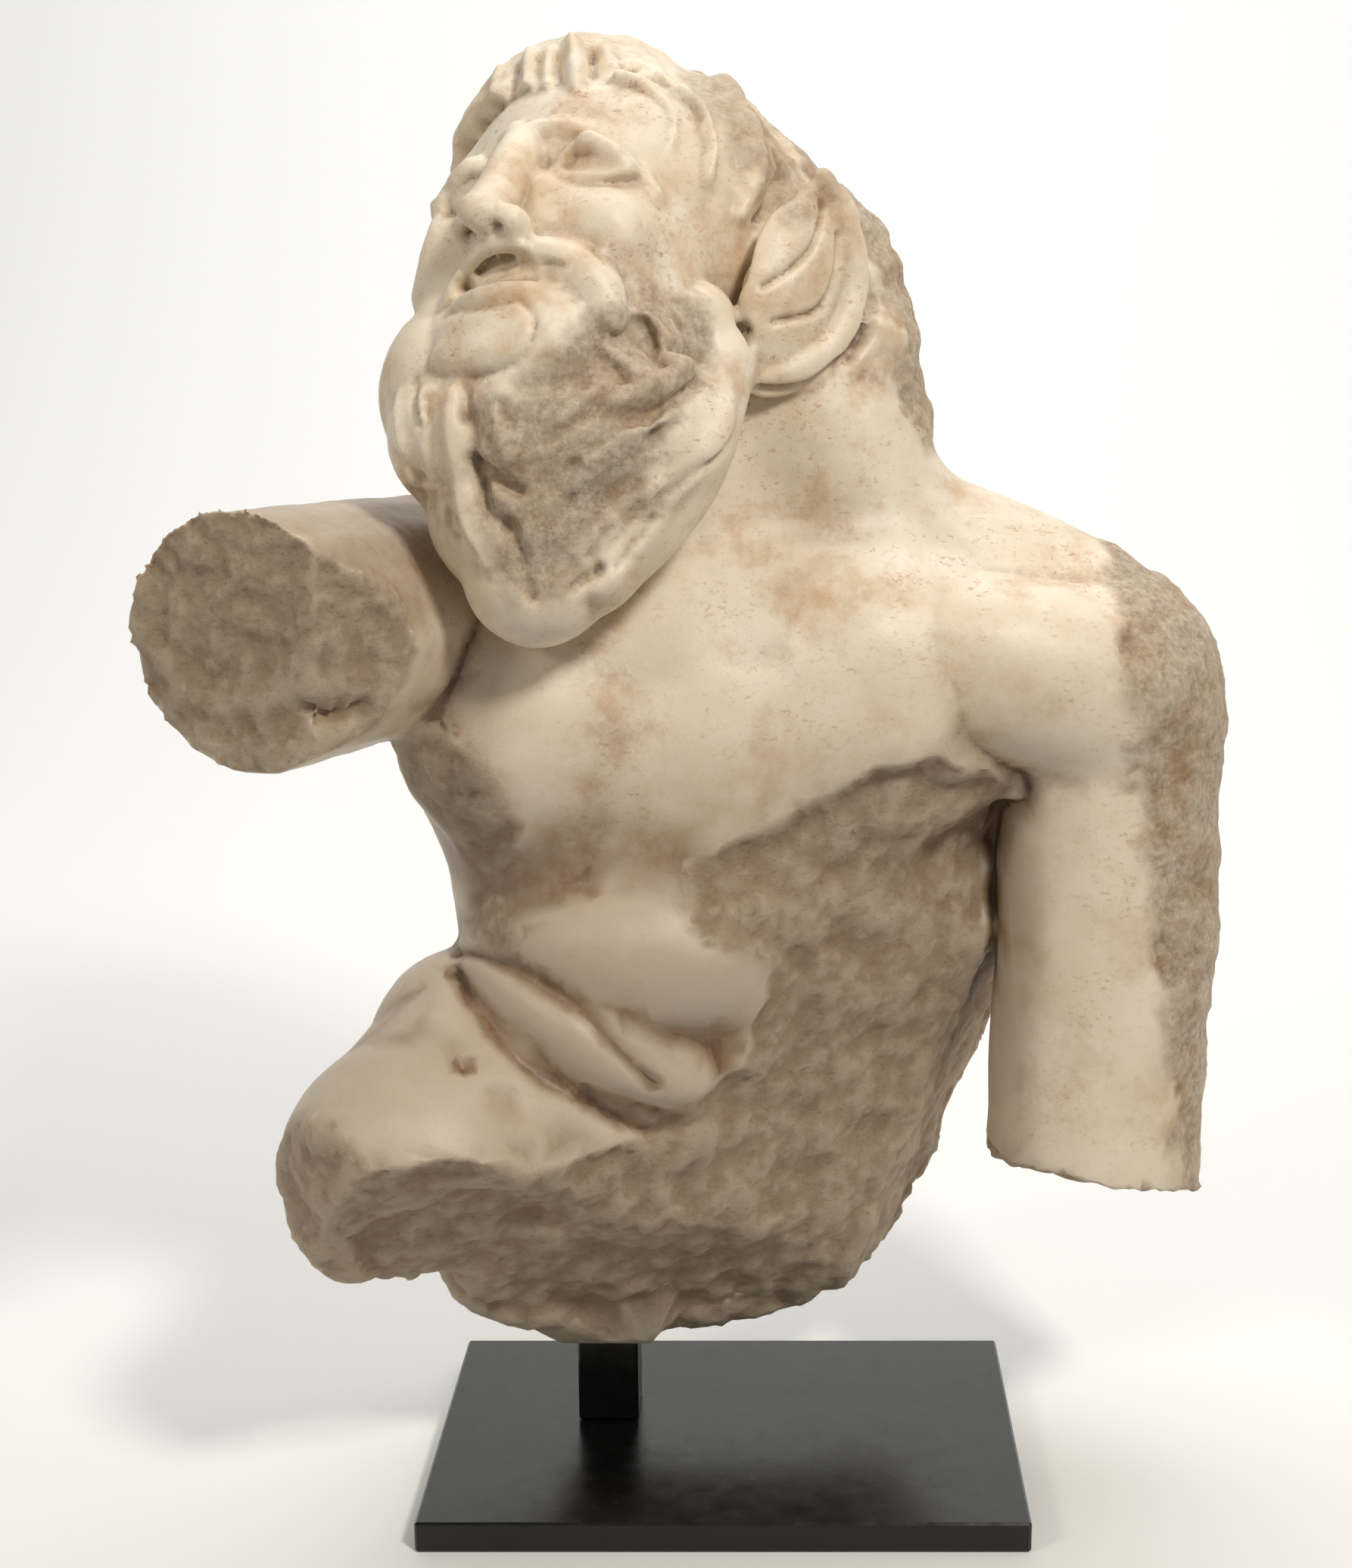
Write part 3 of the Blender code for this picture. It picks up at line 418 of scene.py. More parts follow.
def inside(points, outline):
    """Signed distance of 2-D points to a closed outline, positive inside it."""
    corners = np.array(outline, float)
    apart = np.full(len(points), 1e9)
    within = np.zeros(len(points), bool)
    for a, b in zip(corners, np.roll(corners, -1, axis=0)):
        edge = b - a
        share = np.clip(((points - a) @ edge) / (edge @ edge), 0, 1)
        apart = np.minimum(apart, np.linalg.norm(points - a - share[:, None] * edge, axis=1))
        crosses = (a[1] > points[:, 1]) != (b[1] > points[:, 1])
        reach = a[0] + (points[:, 1] - a[1]) * edge[0] / (edge[1] if edge[1] else 1e-9)
        within ^= crosses & (points[:, 0] < reach)
    return np.where(within, apart, -apart)


def break_away(piece, outline, depth, size, rough, seed):
    """Sinks the front skin inside an outline drawn in X and Z, and leaves it rough."""
    places = points_of(piece)
    normals = normals_of(piece)
    wobble = bumps(places * (1, 0, 1), size * 0.6, size * 0.12, seed + 1)
    within = inside(places[:, [0, 2]], outline) + wobble
    index = np.flatnonzero((within > 0) & (normals[:, 1] < 0.1))
    share = np.clip(within[index] / 5.0, 0, 1)
    push = share * (depth + bumps(places[index], size, rough, seed))
    facing = np.array((0.18, -0.54, -0.18)) + normals[index] * 0.4
    places[index] -= push[:, None] * facing
    set_points(piece, places)


def tuck(piece, outline, frame, depth):
    """Sinks the front of a piece inside an outline in a frame's X and Z, so that what lies under it shows."""
    places = points_of(piece)
    turned = np.array(frame.inverted())
    local = places @ turned[:3, :3].T + turned[:3, 3]
    share = np.clip(inside(local[:, [0, 2]], outline) / 1.2, 0, 1) * np.clip((8 - local[:, 1]) / 4, 0, 1)
    set_points(piece, places - (depth * share)[:, None] * normals_of(piece))


def roughen(piece, size, depth, seed):
    """Rough, picked stone all over a piece."""
    places = points_of(piece)
    places += bumps(places, size, depth, seed)[:, None] * normals_of(piece)
    set_points(piece, places)


def make_torso():
    """Chest, belly and hips as one soft body, then the breast and belly muscles laid on it."""
    core = Clay()
    core.ball((-6, 8, 196), (78, 47, 58))
    core.ball((0, 16, 228), (68, 36, 30))
    core.ball((-8, 6, 150), (63, 47, 46))
    core.ball((24, 20, 125), (58, 42, 60))
    core.ball((46, 34, 118), (50, 28, 68))
    core.ball((34, 28, 84), (52, 34, 48))
    core.ball((60, 26, 176), (28, 24, 44))
    core.ball((-5, 10, 94), (76, 48, 64))
    clay = Clay()
    clay.add(core.fused("core", 3.0, 60))
    clay.rope([(-4, 20, 238), (-10, 16, 288)], [35, 31])
    clay.rope([(0, 24, 245), (50, 18, 239), (92, 12, 222)], [24, 22, 22])
    clay.ball((72, -4, 206), (26, 22, 26))
    clay.rope([(8, 14, 290), (24, 15, 264), (38, 17, 240)], [26, 27, 27])
    clay.rope([(0, 24, 242), (-50, 6, 238), (-80, -6, 230)], [24, 23, 25])
    clay.ball((-46, -15, 202), (36, 24, 36), turn=(0, 12, 0))
    clay.ball((32, -12, 206), (46, 24, 40), turn=(0, -10, 0))
    clay.ball((-18, -14, 148), (42, 35, 27))
    body = clay.fused("torso", CLAY_VOXEL, 60)
    trim(body, (35, -40, 196), (0.519, -0.815, -0.257), size=22, depth=1.8, seed=4)
    trim(body, (62, -15, 140), (0.88, -0.33, -0.34), size=14, depth=1.2, seed=5)
    return body


def make_left_arm():
    """The arm on the viewer's right, which hangs and ends in a break above the elbow."""
    clay = Clay()
    clay.ball((96, 9, 205), (31, 33, 34))
    clay.rope([(42, -12, 223), (66, -11, 216), (94, 0, 208)], [18, 23, 27])
    clay.rope([(98, 8, 196), (98, 6, 150), (96, 4, 100), (96, 2, 60)], [29, 29, 28.5, 28])
    arm = clay.fused("left_arm", CLAY_VOXEL, 30)
    trim(arm, *LEFT_ARM_END, size=6, depth=1.2, seed=2)
    return arm


def make_right_arm():
    """The arm on the viewer's left, which reaches forward and is broken off short, with a ledge beside."""
    clay = Clay()
    clay.rope([(-74, 5, 228), (-92, -34, 228), (-122, -92, 228)], [28, 30, 30.5])
    arm = clay.fused("right_arm", CLAY_VOXEL, 8)
    trim(arm, *RIGHT_ARM_END, size=8, depth=1.2, seed=3)
    trim(arm, *RIGHT_ARM_LEDGE, size=7, depth=1.6, seed=12)
    return arm


def make_lap():
    """The raised thigh on the viewer's left, which the groin crease parts from the belly."""
    clay = Clay()
    clay.rope([(-22, 10, 98), (-55, -16, 101), (-74, -42, 97)], [45, 41, 33])
    clay.ball((-46, -4, 66), (32, 30, 27))
    clay.ball((-90, -52, 96), (17, 17, 17))
    clay.ball((-66, -6, 112), (26, 30, 30))
    lap = clay.fused("lap", CLAY_VOXEL, 14)
    trim(lap, *KNEE_END, size=12, depth=0.8, seed=13)
    return lap


def make_belly_roll():
    """The fold of belly between the two creases above the thigh."""
    clay = Clay()
    clay.rope([(-58, -12, 142), (-46, -26, 138), (-30, -36, 130), (-10, -38, 118)], [10, 14, 14, 8])
    return clay.fused("belly_roll", CLAY_VOXEL, 8)


def make_skull():
    """The bald head, with cheeks and shallow eye sockets, in figure coordinates."""
    clay = Clay(head_matrix())
    clay.ball((0, 8, 20), (40, 46, 40))
    clay.ball((0, -12, -2), (32, 31, 41))
    clay.ball((0, -20, 22), (28, 21, 19))
    clay.ball((0, -30, -36), (23, 15, 20))
    clay.ball((19, -28, -9), (12, 12.5, 12))
    clay.ball((-17, -27, -9), (11, 12, 12))
    clay.rope([(-17, -29, -14), (-19, -30, -25), (-21, -28, -36)], [8, 10, 11])
    clay.rope([(-21, -32, 19), (-24, -32, 10), (-24.5, -33, 2), (-23.5, -34, -7), (-25, -31, -17)],
              [4, 5, 5.6, 6, 7])
    skull = clay.fused("skull", CLAY_VOXEL, 14)
    sockets = [([(side * 7, -40, 8), (side * 14, -41, 7), (side * 23, -36, 5)], [5.5, 6.5, 5.5], 4.5)
               for side in (-1, 1)]
    carve(skull, sockets, head_matrix())
    return skull


def make_face(skull):
    """Brows, eyes, nose, moustache, lips and the tuft below them, on the skull."""
    clay = Clay(head_matrix())
    clay.add(skull)
    clay.rope([(-1, -39.5, 14), (-0.5, -43.2, 4), (0, -47, -6), (0.5, -50.5, -13)], [5.0, 5.2, 5.1, 5.2])
    clay.ball((0, -52, -13.5), (4.8, 4.2, 4.2))
    clay.ball((6.6, -47, -15.2), (3.6, 5, 3.8))
    clay.ball((-6, -47, -14.8), (3.4, 5, 3.8))
    for side in (-1, 1):
        lift = 1 - side
        clay.ball((side * 15.5, -31.2, 6 + lift), (9, 6.4, 6))
        clay.rope([(side * 7.5, -36, 7 + lift), (side * 11, -37.9, 9.6 + lift),
                   (side * 15.5, -38.4, 10.6 + lift), (side * 20, -37, 8.8 + lift),
                   (side * 24.5, -33.5, 5 + lift)], [0.9, 1.2, 1.3, 1.2, 0.9])
        clay.rope([(side * 7.5, -36, 6.6 + lift), (side * 11, -37.2, 3.6 + lift),
                   (side * 16, -37.4, 2.4 + lift), (side * 20.5, -35.8, 3 + lift),
                   (side * 24.5, -33, 5 + lift)], [0.8, 1, 1, 1, 0.8])
    clay.rope([(-9, -42.5, -22.5), (-4, -45, -21), (2, -45.8, -20.5), (8, -44.6, -21)],
              [1.8, 2.3, 2.4, 2.2])
    clay.rope([(7, -41.5, -18.5), (12, -38.5, -19.5), (17, -35.5, -22), (21, -31.5, -26), (23, -29, -31)],
              [2.8, 4.6, 6, 6.2, 5])
    clay.rope([(-9, -42, -22.5), (-14, -39, -26), (-17, -36, -30.5)], [2.4, 2.8, 2])
    clay.rope([(-11, -40, -28.8), (-4, -43, -29.8), (3, -43.4, -30.1), (9.5, -41.4, -29.2)],
              [1.8, 2.3, 2.4, 1.8])
    clay.ball((-2.5, -38, -42), (14, 7, 8), turn=(0, 3, 0))
    face = clay.fused("face", FACE_VOXEL, 2)
    carve(face, FACE_CUTS, head_matrix())
    return face


def make_ear():
    """The goat's ear on the viewer's right: a long leaf with a rolled rim and folds in its hollow."""
    leaf = Clay(Matrix.Translation((18, -12, 307)) @ Matrix.Rotation(math.radians(38), 4, "Z")
                @ Matrix.Rotation(math.radians(20), 4, "Y"))
    leaf.ball((0, 2, -2), (14, 6.5, 24))
    clay = Clay()
    clay.add(leaf.fused("ear_leaf", CLAY_VOXEL, 2))
    clay.rope([(24, -3, 331), (29, -1, 323), (31, 0, 311), (30, -2, 301), (26, -6, 293), (18, -12, 287),
               (10, -16, 285), (5, -20, 287)], [3, 4, 4.8, 5.2, 5.4, 5.4, 4.6, 3])
    clay.rope([(21, -6, 328), (15, -12, 319), (10, -16, 309)], [2.4, 4, 2.8])
    clay.rope([(25, -4, 324), (21, -8, 314), (16, -12, 306), (11, -16, 302)], [2, 3.2, 3.2, 2])
    clay.ball((7.5, -17.5, 303), (4, 4, 5))
    return clay.fused("ear", FACE_VOXEL, 5)


def make_nape():
    """The rough stone left behind the ear and the neck."""
    clay = Clay()
    clay.ball((2, 22, 320), (26, 24, 27))
    clay.ball((22, 24, 296), (25, 24, 36))
    clay.rope([(22, 20, 292), (33, 21, 272)], [27, 20])
    clay.rope([(22, 4, 271), (34, 5, 269), (46, 14, 266)], [5, 6, 5])
    nape = clay.fused("nape", CLAY_VOXEL, 10)
    roughen(nape, size=9, depth=1.6, seed=8)
    return nape


def make_hair():
    """A cap of hair that ends at the brow, with forelocks, leaf-like lobes at the temple and a worn crown."""
    cap = Clay(head_matrix())
    cap.ball((0, 12, 24), (42, 45, 40))
    cap.ball((-6, -10, 31), (34, 30, 32))
    cap.ball((-30, 6, 12), (16, 26, 24))
    hair = cap.fused("hair", FACE_VOXEL * 1.2, 6)
    carve(hair, HAIR_LOBES, head_matrix())
    carve(hair, HAIR_CUTS, head_matrix())
    roughen(hair, size=10, depth=1.2, seed=9)
    tuck(hair, FACE_OUTLINE, head_matrix(), depth=8)
    return hair


def make_beard():
    """A broad beard: upright locks on the viewer's left, lobes that sweep to its tip on the right."""
    clay = Clay()
    clay.ball((-36, -34, 272), (40, 26, 26))
    clay.ball((-60, -24, 281), (19, 21, 22))
    clay.ball((-41, -39, 256), (26, 21, 23))
    clay.ball((-41, -45, 241), (17, 14, 16))
    clay.rope([(-34, -40, 290), (-19, -32, 293), (-6, -21, 298)], [12, 12.5, 10])
    clay.rope([(-3, -21, 288), (-12, -34, 264), (-29, -44, 244)], [12, 13, 12])
    beard = clay.fused("beard", FACE_VOXEL * 1.3, 20)
    carve(beard, BEARD_LOBES)
    carve(beard, BEARD_CUTS)
    return beard


def level_round(piece, rounds):
    """The piece's points after that many rounds of averaging with their neighbours."""
    ends = np.empty(len(piece.data.edges) * 2, np.int32)
    piece.data.edges.foreach_get("vertices", ends)
    first, second = ends.reshape(-1, 2).T
    count = len(piece.data.vertices)
    mates = np.bincount(first, minlength=count) + np.bincount(second, minlength=count)
    places = points_of(piece)
    for _ in range(rounds):
        total = np.zeros_like(places)
        for axis in range(3):
            total[:, axis] = (np.bincount(first, weights=places[second, axis], minlength=count)
                              + np.bincount(second, weights=places[first, axis], minlength=count))
        places = 0.4 * places + 0.6 * total / mates[:, None]
    return places


def melt(piece, spots, rounds):
    """Eases the joints between masses about each spot, which has a centre and a reach."""
    places = points_of(piece)
    share = np.zeros(len(places))
    for centre, reach in spots:
        apart = np.linalg.norm(places - np.array(centre, float), axis=1) / reach
        share = np.maximum(share, np.clip(2 - 2 * apart, 0, 1))
    set_points(piece, places + share[:, None] * (level_round(piece, rounds) - places))


def broken_share(places, normals):
    """How far each place lies on a broken face, from 0 on carved skin to 1 on the break."""
    share = np.zeros(len(places))
    for origin, facing, reach in BREAKS:
        facing = np.array(Vector(facing).normalized())
        past = np.abs((places - np.array(origin, float)) @ facing)
        near = np.linalg.norm(places - np.array(origin, float), axis=1) < reach
        level = np.clip((normals @ facing - 0.55) / 0.25, 0, 1)
        share = np.maximum(share, near * level * np.clip((4.0 - past) / 2.0, 0, 1))
    front = np.clip((0.15 - normals[:, 1]) / 0.2, 0, 1)
    wobble = bumps(places * (1, 0, 1), 9, 1.6, 21)
    for outline in (FLANK_BREAK, RIB_BREAK, RIB_CHIP):
        within = inside(places[:, [0, 2]], outline) + wobble
        share = np.maximum(share, front * np.clip(within / 2.0 + 0.5, 0, 1))
    from_arm = np.hypot(places[:, 0] - ARM_AXIS[0], places[:, 1] - ARM_AXIS[1])
    share[(from_arm < ARM_REACH) & (places[:, 2] > ARM_END)] = 0
    return share


def picked_share(places):
    """How far each place was left picked and worn: arm, nape, crown and the chips in the beard."""
    arm = np.clip((places[:, 0] - 104 + 0.13 * (places[:, 2] - 150)) / 4 + bumps(places, 9, 1.0, 31), 0, 1)
    arm *= (places[:, 2] < 262) * 0.9
    nape = np.clip((places[:, 1] - 8 + 0.35 * (places[:, 0] - 20)) / 6 + bumps(places, 9, 1.0, 32), 0, 1)
    nape *= np.clip((places[:, 2] - 264) / 5, 0, 1) * 0.8
    beard = np.clip(inside(places[:, [0, 2]], BEARD_CHIP) / 5 + bumps(places, 8, 0.7, 33), 0, 1)
    beard *= (places[:, 1] < -28) * 0.8
    crown = np.clip(inside(places[:, [0, 2]], CROWN_CHIP) / 4 + bumps(places, 8, 0.7, 34), 0, 1)
    crown *= (places[:, 1] < 10) * 0.6
    return np.maximum(np.maximum(arm, nape), np.maximum(beard, crown))


def soil_and_low_shade_share(places):
    """How brown the skin is: below the breast, from soil and painted shade, and atop the broken arm on the
    viewer's left.
    """
    # Painted shade as well as soil: the skin browns and darkens towards the bottom below the breast.
    low = np.clip((204 - places[:, 2]) / 40, 0, 1) * np.clip((places[:, 2] - 40) / 90, 0.7, 1)
    low *= np.clip((82 - places[:, 0]) / 8, 0, 1)
    arm = np.clip((-56 - places[:, 0]) / 12, 0, 1) * np.clip((places[:, 2] - 205) / 10, 0, 1)
    return np.maximum(low, 0.8 * arm * (places[:, 2] < 262))


def weather(piece):
    """Breaks, picked stone, pits and the soft wear of the carved skin, at three sizes of grain."""
    places = points_of(piece)
    normals = normals_of(piece)
    broken = broken_share(places, normals)
    rough = np.maximum(broken, picked_share(places))
    grain = bumps(places, 15, 1.5, 41) + bumps(places, 5.5, 0.30, 42) + bumps(places, 2.1, 0.15, 43)
    height = rough * grain
    height += (1 - rough) * (bumps(places, 26, 0.5, 44) + bumps(places, 4, 0.06, 45))
    places += height[:, None] * normals
    set_points(piece, places)


def drop_crumbs(piece):
    """Keeps the body of the figure, and drops the loose crumbs that a rough rim sheds."""
    lowest = int(points_of(piece)[:, 2].argmin())
    select_only(piece)
    bpy.ops.object.mode_set(mode="EDIT")
    bpy.ops.mesh.select_mode(type="VERT")
    bpy.ops.mesh.select_all(action="DESELECT")
    bpy.ops.object.mode_set(mode="OBJECT")
    piece.data.vertices[lowest].select = True
    bpy.ops.object.mode_set(mode="EDIT")
    bpy.ops.mesh.select_linked()
    bpy.ops.mesh.select_all(action="INVERT")
    bpy.ops.mesh.delete(type="VERT")
    bpy.ops.object.mode_set(mode="OBJECT")


def make_marble():
    """The figure, fused from its masses, carved, weathered and set on the post."""
    body = Clay()
    for part in (make_torso(), make_belly_roll(), make_lap()):
        body.add(part)
    body = body.fused("body", CLAY_VOXEL, 4)
    trim(body, *LAP_UNDERSIDE, size=22, depth=1.5, seed=6)
    break_away(body, FLANK_BREAK, depth=3.0, size=16, rough=1.5, seed=7)
    hair = make_hair()
    face = make_face(make_skull())
    clay = Clay()
    clay.add(body)
    for part in (make_left_arm(), make_right_arm(), make_nape(), hair, face, make_ear(), make_beard()):
        clay.add(part)
    marble = clay.fused("satyr_marble", FIGURE_VOXEL, 1)
    drop_crumbs(marble)
    melt(marble, MELTED, rounds=90)
    carve(marble, BODY_CUTS + EAR_CUTS)
    weather(marble)
    flat_seat(marble, SEAT_BLEND)
    lighten(marble)
    mark(marble)
    seat(marble)
    return marble


def flat_seat(piece, blend):
    """Flattens the underside over the post's top, out to a margin past the post's sides."""
    places = points_of(piece)
    low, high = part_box("square_post")
    half = (high[0] - low[0]) / 2 / MM + SEAT_MARGIN
    apart = np.abs(places[:, :2] - DRAWN_SEAT[:2]).max(axis=1) - half
    share = np.clip(1 - apart / blend, 0, 1)
    under = (places[:, 2] < DRAWN_SEAT[2] + SEAT_REACH) & (share > 0)
    places[under, 2] += share[under] * (DRAWN_SEAT[2] - places[under, 2])
    set_points(piece, places)


def lighten(piece):
    """Brings the marble down to its share of triangles, and keeps more of them about the head."""
    faces = sum(len(face.vertices) - 2 for face in piece.data.polygons)
    if faces <= MARBLE_TRIANGLES:
        return
    heights = points_of(piece)[:, 2]
    plain = np.clip((NECK_HEIGHT - heights) / NECK_BLEND, HEAD_WEIGHT, 1).round(1)
    group = piece.vertex_groups.new(name="plain")
    for weight in np.unique(plain):
        group.add(np.flatnonzero(plain == weight).tolist(), float(weight), "REPLACE")
    apply_modifier(piece, "DECIMATE", ratio=MARBLE_TRIANGLES / faces, vertex_group="plain",
                   vertex_group_factor=1.0)
    piece.vertex_groups.clear()


def mark(piece):
    """Stores for the finish how broken, how hollow and how raised each point of the marble is."""
    places = points_of(piece)
    normals = normals_of(piece)
    broken = broken_share(places, normals)
    near = ((level_round(piece, 4) - places) * normals).sum(axis=1)
    wide = ((level_round(piece, 40) - places) * normals).sum(axis=1)
    # Painted shade as well as dirt: hollows, fine and wide, are kept here to be darkened in the finish.
    shares = {"broken": broken,
              "picked": picked_share(places),
              "soil_and_low_shade": soil_and_low_shade_share(places),
              "hollow_dirt_and_shade": np.clip(near / 0.5, 0, 1) * 0.6 + np.clip(wide / 3.5, 0, 1) * 0.3,
              "ridge": np.clip(-near / 0.3, 0, 1)}
    for name, values in shares.items():
        layer = piece.data.attributes.new(name, "FLOAT", "POINT")
        layer.data.foreach_set("value", values.astype(np.float32))


def seat(piece):
    """Drawn millimetres to metres, with the seat on the middle of the post's top."""
    low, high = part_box("square_post")
    top = Vector(((low[0] + high[0]) / 2, (low[1] + high[1]) / 2, high[2] + TOUCH_GAP))
    select_only(piece)
    drawn_seat = Matrix.Translation(-Vector(DRAWN_SEAT))
    piece.matrix_world = Matrix.Translation(top) @ Matrix.Scale(MM, 4) @ drawn_seat
    bpy.ops.object.transform_apply(location=True, rotation=True, scale=True)
    bpy.ops.object.shade_smooth()


def linear(hexed):
    """An sRGB hex colour as linear red, green and blue."""
    parts = [int(hexed[i:i + 2], 16) / 255 for i in (1, 3, 5)]
    return [part / 12.92 if part <= 0.04045 else ((part + 0.055) / 1.055) ** 2.4 for part in parts] + [1.0]


def node(tree, kind, inputs, output=0, **settings):
    """Adds a node with its settings and gives one of its outputs. An input is a value or another output."""
    made = tree.nodes.new(kind)
    for name, value in settings.items():
        setattr(made, name, value)
    for name, value in inputs.items():
        if isinstance(value, bpy.types.NodeSocket):
            tree.links.new(value, made.inputs[name])
        else:
            made.inputs[name].default_value = value
    return made.outputs[output]


def new_finish(name):
    """An empty material with its nodes and its Principled shader."""
    finish = bpy.data.materials.new(name)
    finish.use_nodes = True
    return finish, finish.node_tree, finish.node_tree.nodes["Principled BSDF"]


def layered(tree, place, colour, layers):
    """Clouds of colour over one another. Each has a size in mm, detail, where it starts and is full, its
    most, its colour and what it lies in."""
    for size, detail, start, full, most, over, within in layers:
        cloud = node(tree, "ShaderNodeTexNoise",
                     {"Vector": place, "Scale": 1 / (size * MM), "Detail": detail, "Roughness": 0.7})
        share = node(tree, "ShaderNodeMapRange", {0: cloud, 1: start, 2: full, 4: most})
        share = node(tree, "ShaderNodeMath", {0: share, 1: within}, operation="MULTIPLY")
        colour = node(tree, "ShaderNodeMix", {0: share, 6: colour, 7: linear(over)}, 2, data_type="RGBA")
    return colour


def weathered_marble():
    """Carved marble long buried: cream, with soil and painted shade low down and in hollows, rust flecks,
    duller breaks.
    """
    finish, tree, shader = new_finish("weathered_marble")
    place = node(tree, "ShaderNodeTexCoord", {}, "Object")
    level = node(tree, "ShaderNodeMapping", {"Vector": place, "Scale": (1, 1, 1.7)})
    broken, picked, soil_and_low_shade, hollow_dirt_and_shade, ridge = [
        node(tree, "ShaderNodeAttribute", {}, "Fac", attribute_name=name)
        for name in ("broken", "picked", "soil_and_low_shade", "hollow_dirt_and_shade", "ridge")]
    patches = node(tree, "ShaderNodeTexNoise",
                   {"Vector": place, "Scale": 1 / (18 * MM), "Detail": 5, "Roughness": 0.7})
    patches = node(tree, "ShaderNodeMapRange", {0: patches, 1: 0.46, 2: 0.62, 3: 0.12})
    # The skin has cream clouds and rust patches, and darkens low down with soil and painted shade. Rust
    # flecks lie on it.
    skin = layered(tree, place, linear("#DCCAAC"), (
        (45, 3, 0.36, 0.62, 1.0, "#EFE4D0", 1.0),
        (20, 6, 0.50, 0.68, 0.6, "#BF9057", 1.0),
        (60, 2, 0.20, 0.40, 0.74, "#7E6347", soil_and_low_shade)))
    skin = layered(tree, level, skin, (
        (2.0, 5, 0.55, 0.66, 0.7, "#A8703A", patches),
        (0.9, 3, 0.65, 0.72, 0.4, "#7A5636", 1.0)))
    # Broken stone is greyer, with pale and rusty clouds, dark grains, and soil and painted shade low down.
    rock = layered(tree, level, linear("#B29E86"), (
        (14, 6, 0.35, 0.65, 0.5, "#BFAD93", 1.0),
        (16, 7, 0.52, 0.72, 0.5, "#8A6643", 1.0),
        (1.6, 5, 0.54, 0.68, 0.5, "#6E5238", 1.0),
        (60, 2, 0.20, 0.40, 0.3, "#7A624A", soil_and_low_shade)))
    colour = node(tree, "ShaderNodeMix", {0: broken, 6: skin, 7: rock}, 2, data_type="RGBA")
    rough = node(tree, "ShaderNodeMath", {0: broken, 1: picked}, operation="MAXIMUM")
    worn = node(tree, "ShaderNodeMapRange", {0: rough, 3: 1.0, 4: 0.45})
    # Painted shade as well as dirt: the hollows darken brown, and the deepest of them turn near black.
    groove_dirt_and_shade = node(tree, "ShaderNodeMath", {0: hollow_dirt_and_shade, 1: worn}, operation="MULTIPLY")
    raised = node(tree, "ShaderNodeMath", {0: ridge, 1: worn}, operation="MULTIPLY")
    deepest_painted_shade = node(tree, "ShaderNodeMapRange", {0: groove_dirt_and_shade, 1: 0.6, 4: 0.85})
    # Dirt lies in picked stone, dirt and painted shade in the grooves and hollows, and the edges are worn
    # pale.
    colour = layered(tree, place, colour, (
        (1.8, 6, 0.10, 0.60, 0.8, "#7D6146", picked),
        (5, 4, 0.10, 0.55, 1.0, "#7A5636", groove_dirt_and_shade),
        (5, 4, 0.05, 0.20, 1.0, "#3A2415", deepest_painted_shade),
        (5, 4, 0.05, 0.20, 0.4, "#EFE4D0", raised)))
    tree.links.new(colour, shader.inputs["Base Color"])
    coarse = node(tree, "ShaderNodeTexNoise",
                  {"Vector": place, "Scale": 1 / (1.6 * MM), "Detail": 6, "Roughness": 0.75})
    fine = node(tree, "ShaderNodeTexNoise", {"Vector": place, "Scale": 1 / (0.45 * MM), "Detail": 4})
    strength = node(tree, "ShaderNodeMapRange", {0: rough, 3: 0.22, 4: 0.9})
    relief = node(tree, "ShaderNodeBump", {"Strength": strength, "Distance": 0.5 * MM, "Height": coarse})
    relief = node(tree, "ShaderNodeBump",
                  {"Strength": 0.35, "Distance": 0.15 * MM, "Height": fine, "Normal": relief})
    tree.links.new(relief, shader.inputs["Normal"])
    tree.links.new(node(tree, "ShaderNodeMapRange", {0: rough, 3: 0.42, 4: 0.8}),
                   shader.inputs["Roughness"])
    # Light sinks a few millimetres into the stone, which softens its shadows.
    shader.inputs["Subsurface Weight"].default_value = 0.2
    shader.inputs["Subsurface Radius"].default_value = (1.0, 0.6, 0.35)
    shader.inputs["Subsurface Scale"].default_value = 2.5 * MM
    return finish


def black_steel():
    """Mild steel sprayed gloss black, with the soft ripple that sprayed paint dries to."""
    finish, tree, shader = new_finish("black_sprayed_steel")
    place = node(tree, "ShaderNodeTexCoord", {}, "Object")
    colour = layered(tree, place, linear("#050505"), ((14, 4, 0.3, 0.7, 1.0, "#0B0B0B", 1.0),))
    tree.links.new(colour, shader.inputs["Base Color"])
    smears = node(tree, "ShaderNodeTexNoise", {"Vector": place, "Scale": 1 / (5 * MM), "Detail": 5})
    tree.links.new(node(tree, "ShaderNodeMapRange", {0: smears, 3: 0.12, 4: 0.36}),
                   shader.inputs["Roughness"])
    ripple = node(tree, "ShaderNodeTexNoise", {"Vector": place, "Scale": 1 / (1.2 * MM)})
    relief = node(tree, "ShaderNodeBump", {"Strength": 0.25, "Distance": 0.05 * MM, "Height": ripple})
    tree.links.new(relief, shader.inputs["Normal"])
    return finish


def dress(piece, finish):
    """Gives the piece that finish alone."""
    piece.data.materials.clear()
    piece.data.materials.append(finish)


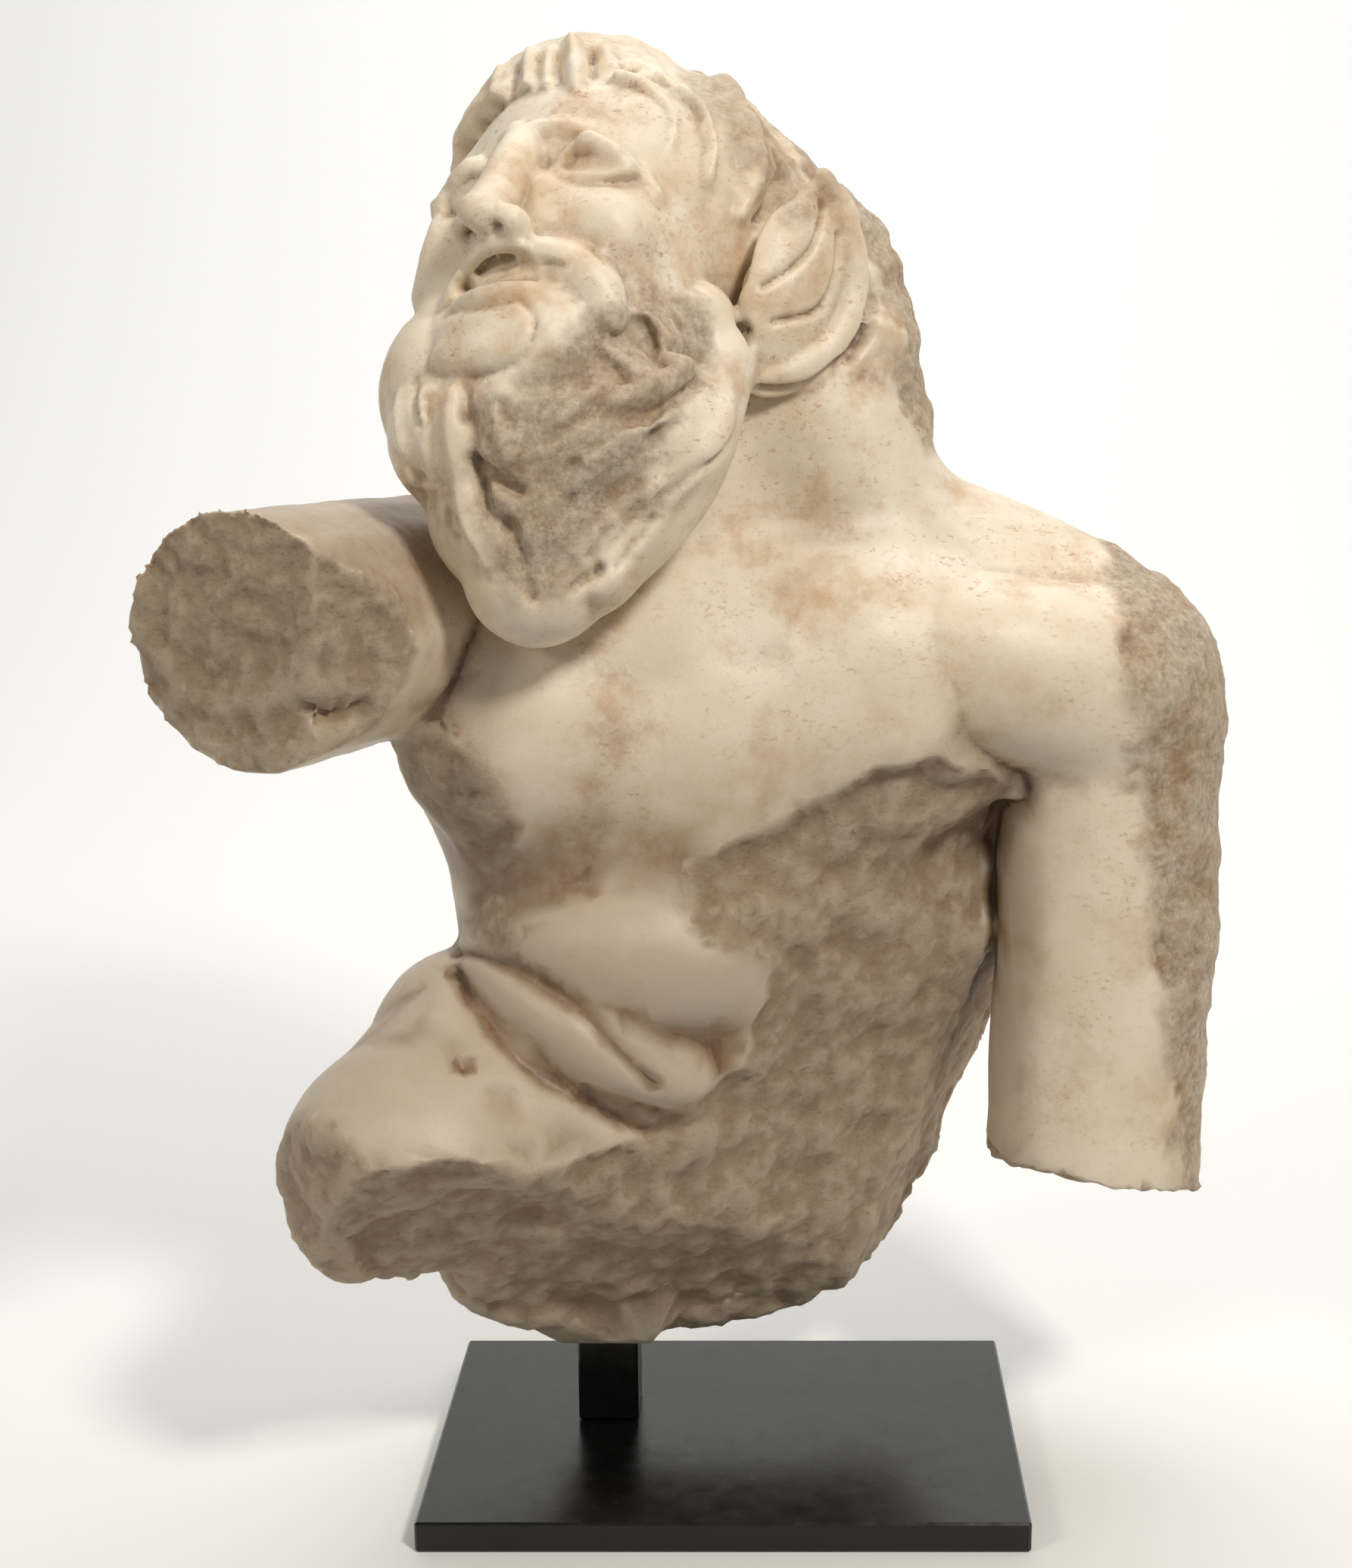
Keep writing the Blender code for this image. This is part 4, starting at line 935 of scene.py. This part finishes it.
def make_stage():
    """A pale floor that curves up into a pale wall behind the figure."""
    paper, _, shader = new_finish("pale_paper")
    # Matt paper just off white, which the lamps bring up to white.
    shader.inputs["Base Color"].default_value = linear("#F2F2F0")
    shader.inputs["Roughness"].default_value = 0.9
    bpy.ops.object.select_all(action="DESELECT")
    bpy.ops.mesh.primitive_plane_add(size=1.0)
    floor = bpy.context.object
    floor.name = "paper_sweep"
    floor.scale = (2 * PAPER_HALF_WIDTH, PAPER_BACK - PAPER_FRONT, 1)
    floor.location = (0, (PAPER_BACK + PAPER_FRONT) / 2, 0)
    bpy.ops.object.transform_apply(location=True, rotation=True, scale=True)
    bpy.ops.object.mode_set(mode="EDIT")
    bpy.ops.mesh.select_mode(type="EDGE")
    bpy.ops.mesh.select_all(action="DESELECT")
    bpy.ops.object.mode_set(mode="OBJECT")
    for edge in floor.data.edges:
        middle = (floor.data.vertices[edge.vertices[0]].co + floor.data.vertices[edge.vertices[1]].co) / 2
        edge.select = middle.y > PAPER_BACK - 0.01
    bpy.ops.object.mode_set(mode="EDIT")
    bpy.ops.mesh.extrude_region_move(TRANSFORM_OT_translate={"value": (0, 0, PAPER_HEIGHT)})
    bpy.ops.object.mode_set(mode="OBJECT")
    apply_modifier(floor, "BEVEL", width=PAPER_CURVE, segments=24, limit_method="ANGLE")
    bpy.ops.object.shade_smooth()
    dress(floor, paper)


def add_light(name, place, aim, size, power, colour):
    """A square lamp at a place, turned to its aim. Lengths are in metres and power in watts."""
    bpy.ops.object.light_add(type="AREA", location=place)
    light = bpy.context.object
    light.name = name
    light.rotation_euler = (Vector(aim) - Vector(place)).to_track_quat("-Z", "Y").to_euler()
    light.data.size = size
    light.data.energy = power
    light.data.color = linear(colour)[:3]


def make_lights():
    """A small key high on the right, a weaker lamp on the left, a lit wall and an even pale room."""
    chest = (0, 0, 0.2)
    add_light("key", place=(0.42, -0.62, 0.88), aim=chest, size=0.16, power=6.3, colour="#FFF8EE")
    add_light("left", place=(-0.72, -0.60, 0.66), aim=chest, size=0.16, power=2.1, colour="#FFF7EC")
    add_light("wall", place=(0.1, 0.7, 1.6), aim=(0.1, 1.9, 0.3), size=1.6, power=25, colour="#FFFFFF")
    room = bpy.data.worlds.new("pale_room")
    room.use_nodes = True
    background = room.node_tree.nodes["Background"]
    background.inputs["Color"].default_value = linear("#F5F3F0")
    background.inputs["Strength"].default_value = 0.24
    bpy.context.scene.world = room


def make_camera():
    """The photograph's view: from the front, a little above and a little to the right."""
    bpy.ops.object.camera_add(location=CAMERA_PLACE, rotation=(math.radians(90 - CAMERA_DIP), 0, 0))
    camera = bpy.context.object
    camera.data.sensor_fit = "VERTICAL"
    camera.data.sensor_height = 36
    camera.data.lens = CAMERA_LENS
    camera.data.shift_x = CAMERA_SHIFT
    camera.data.clip_start = 0.01
    bpy.context.scene.camera = camera
    bpy.context.scene.view_settings.view_transform = "Standard"


make_camera()
make_stage()
make_lights()
marble = make_marble()
dress(marble, weathered_marble())
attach(marble, "root")
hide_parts("marble_satyr")
steel = black_steel()
for name in ("square_post", "base_plate"):
    dress(frame["nodes"][name], steel)
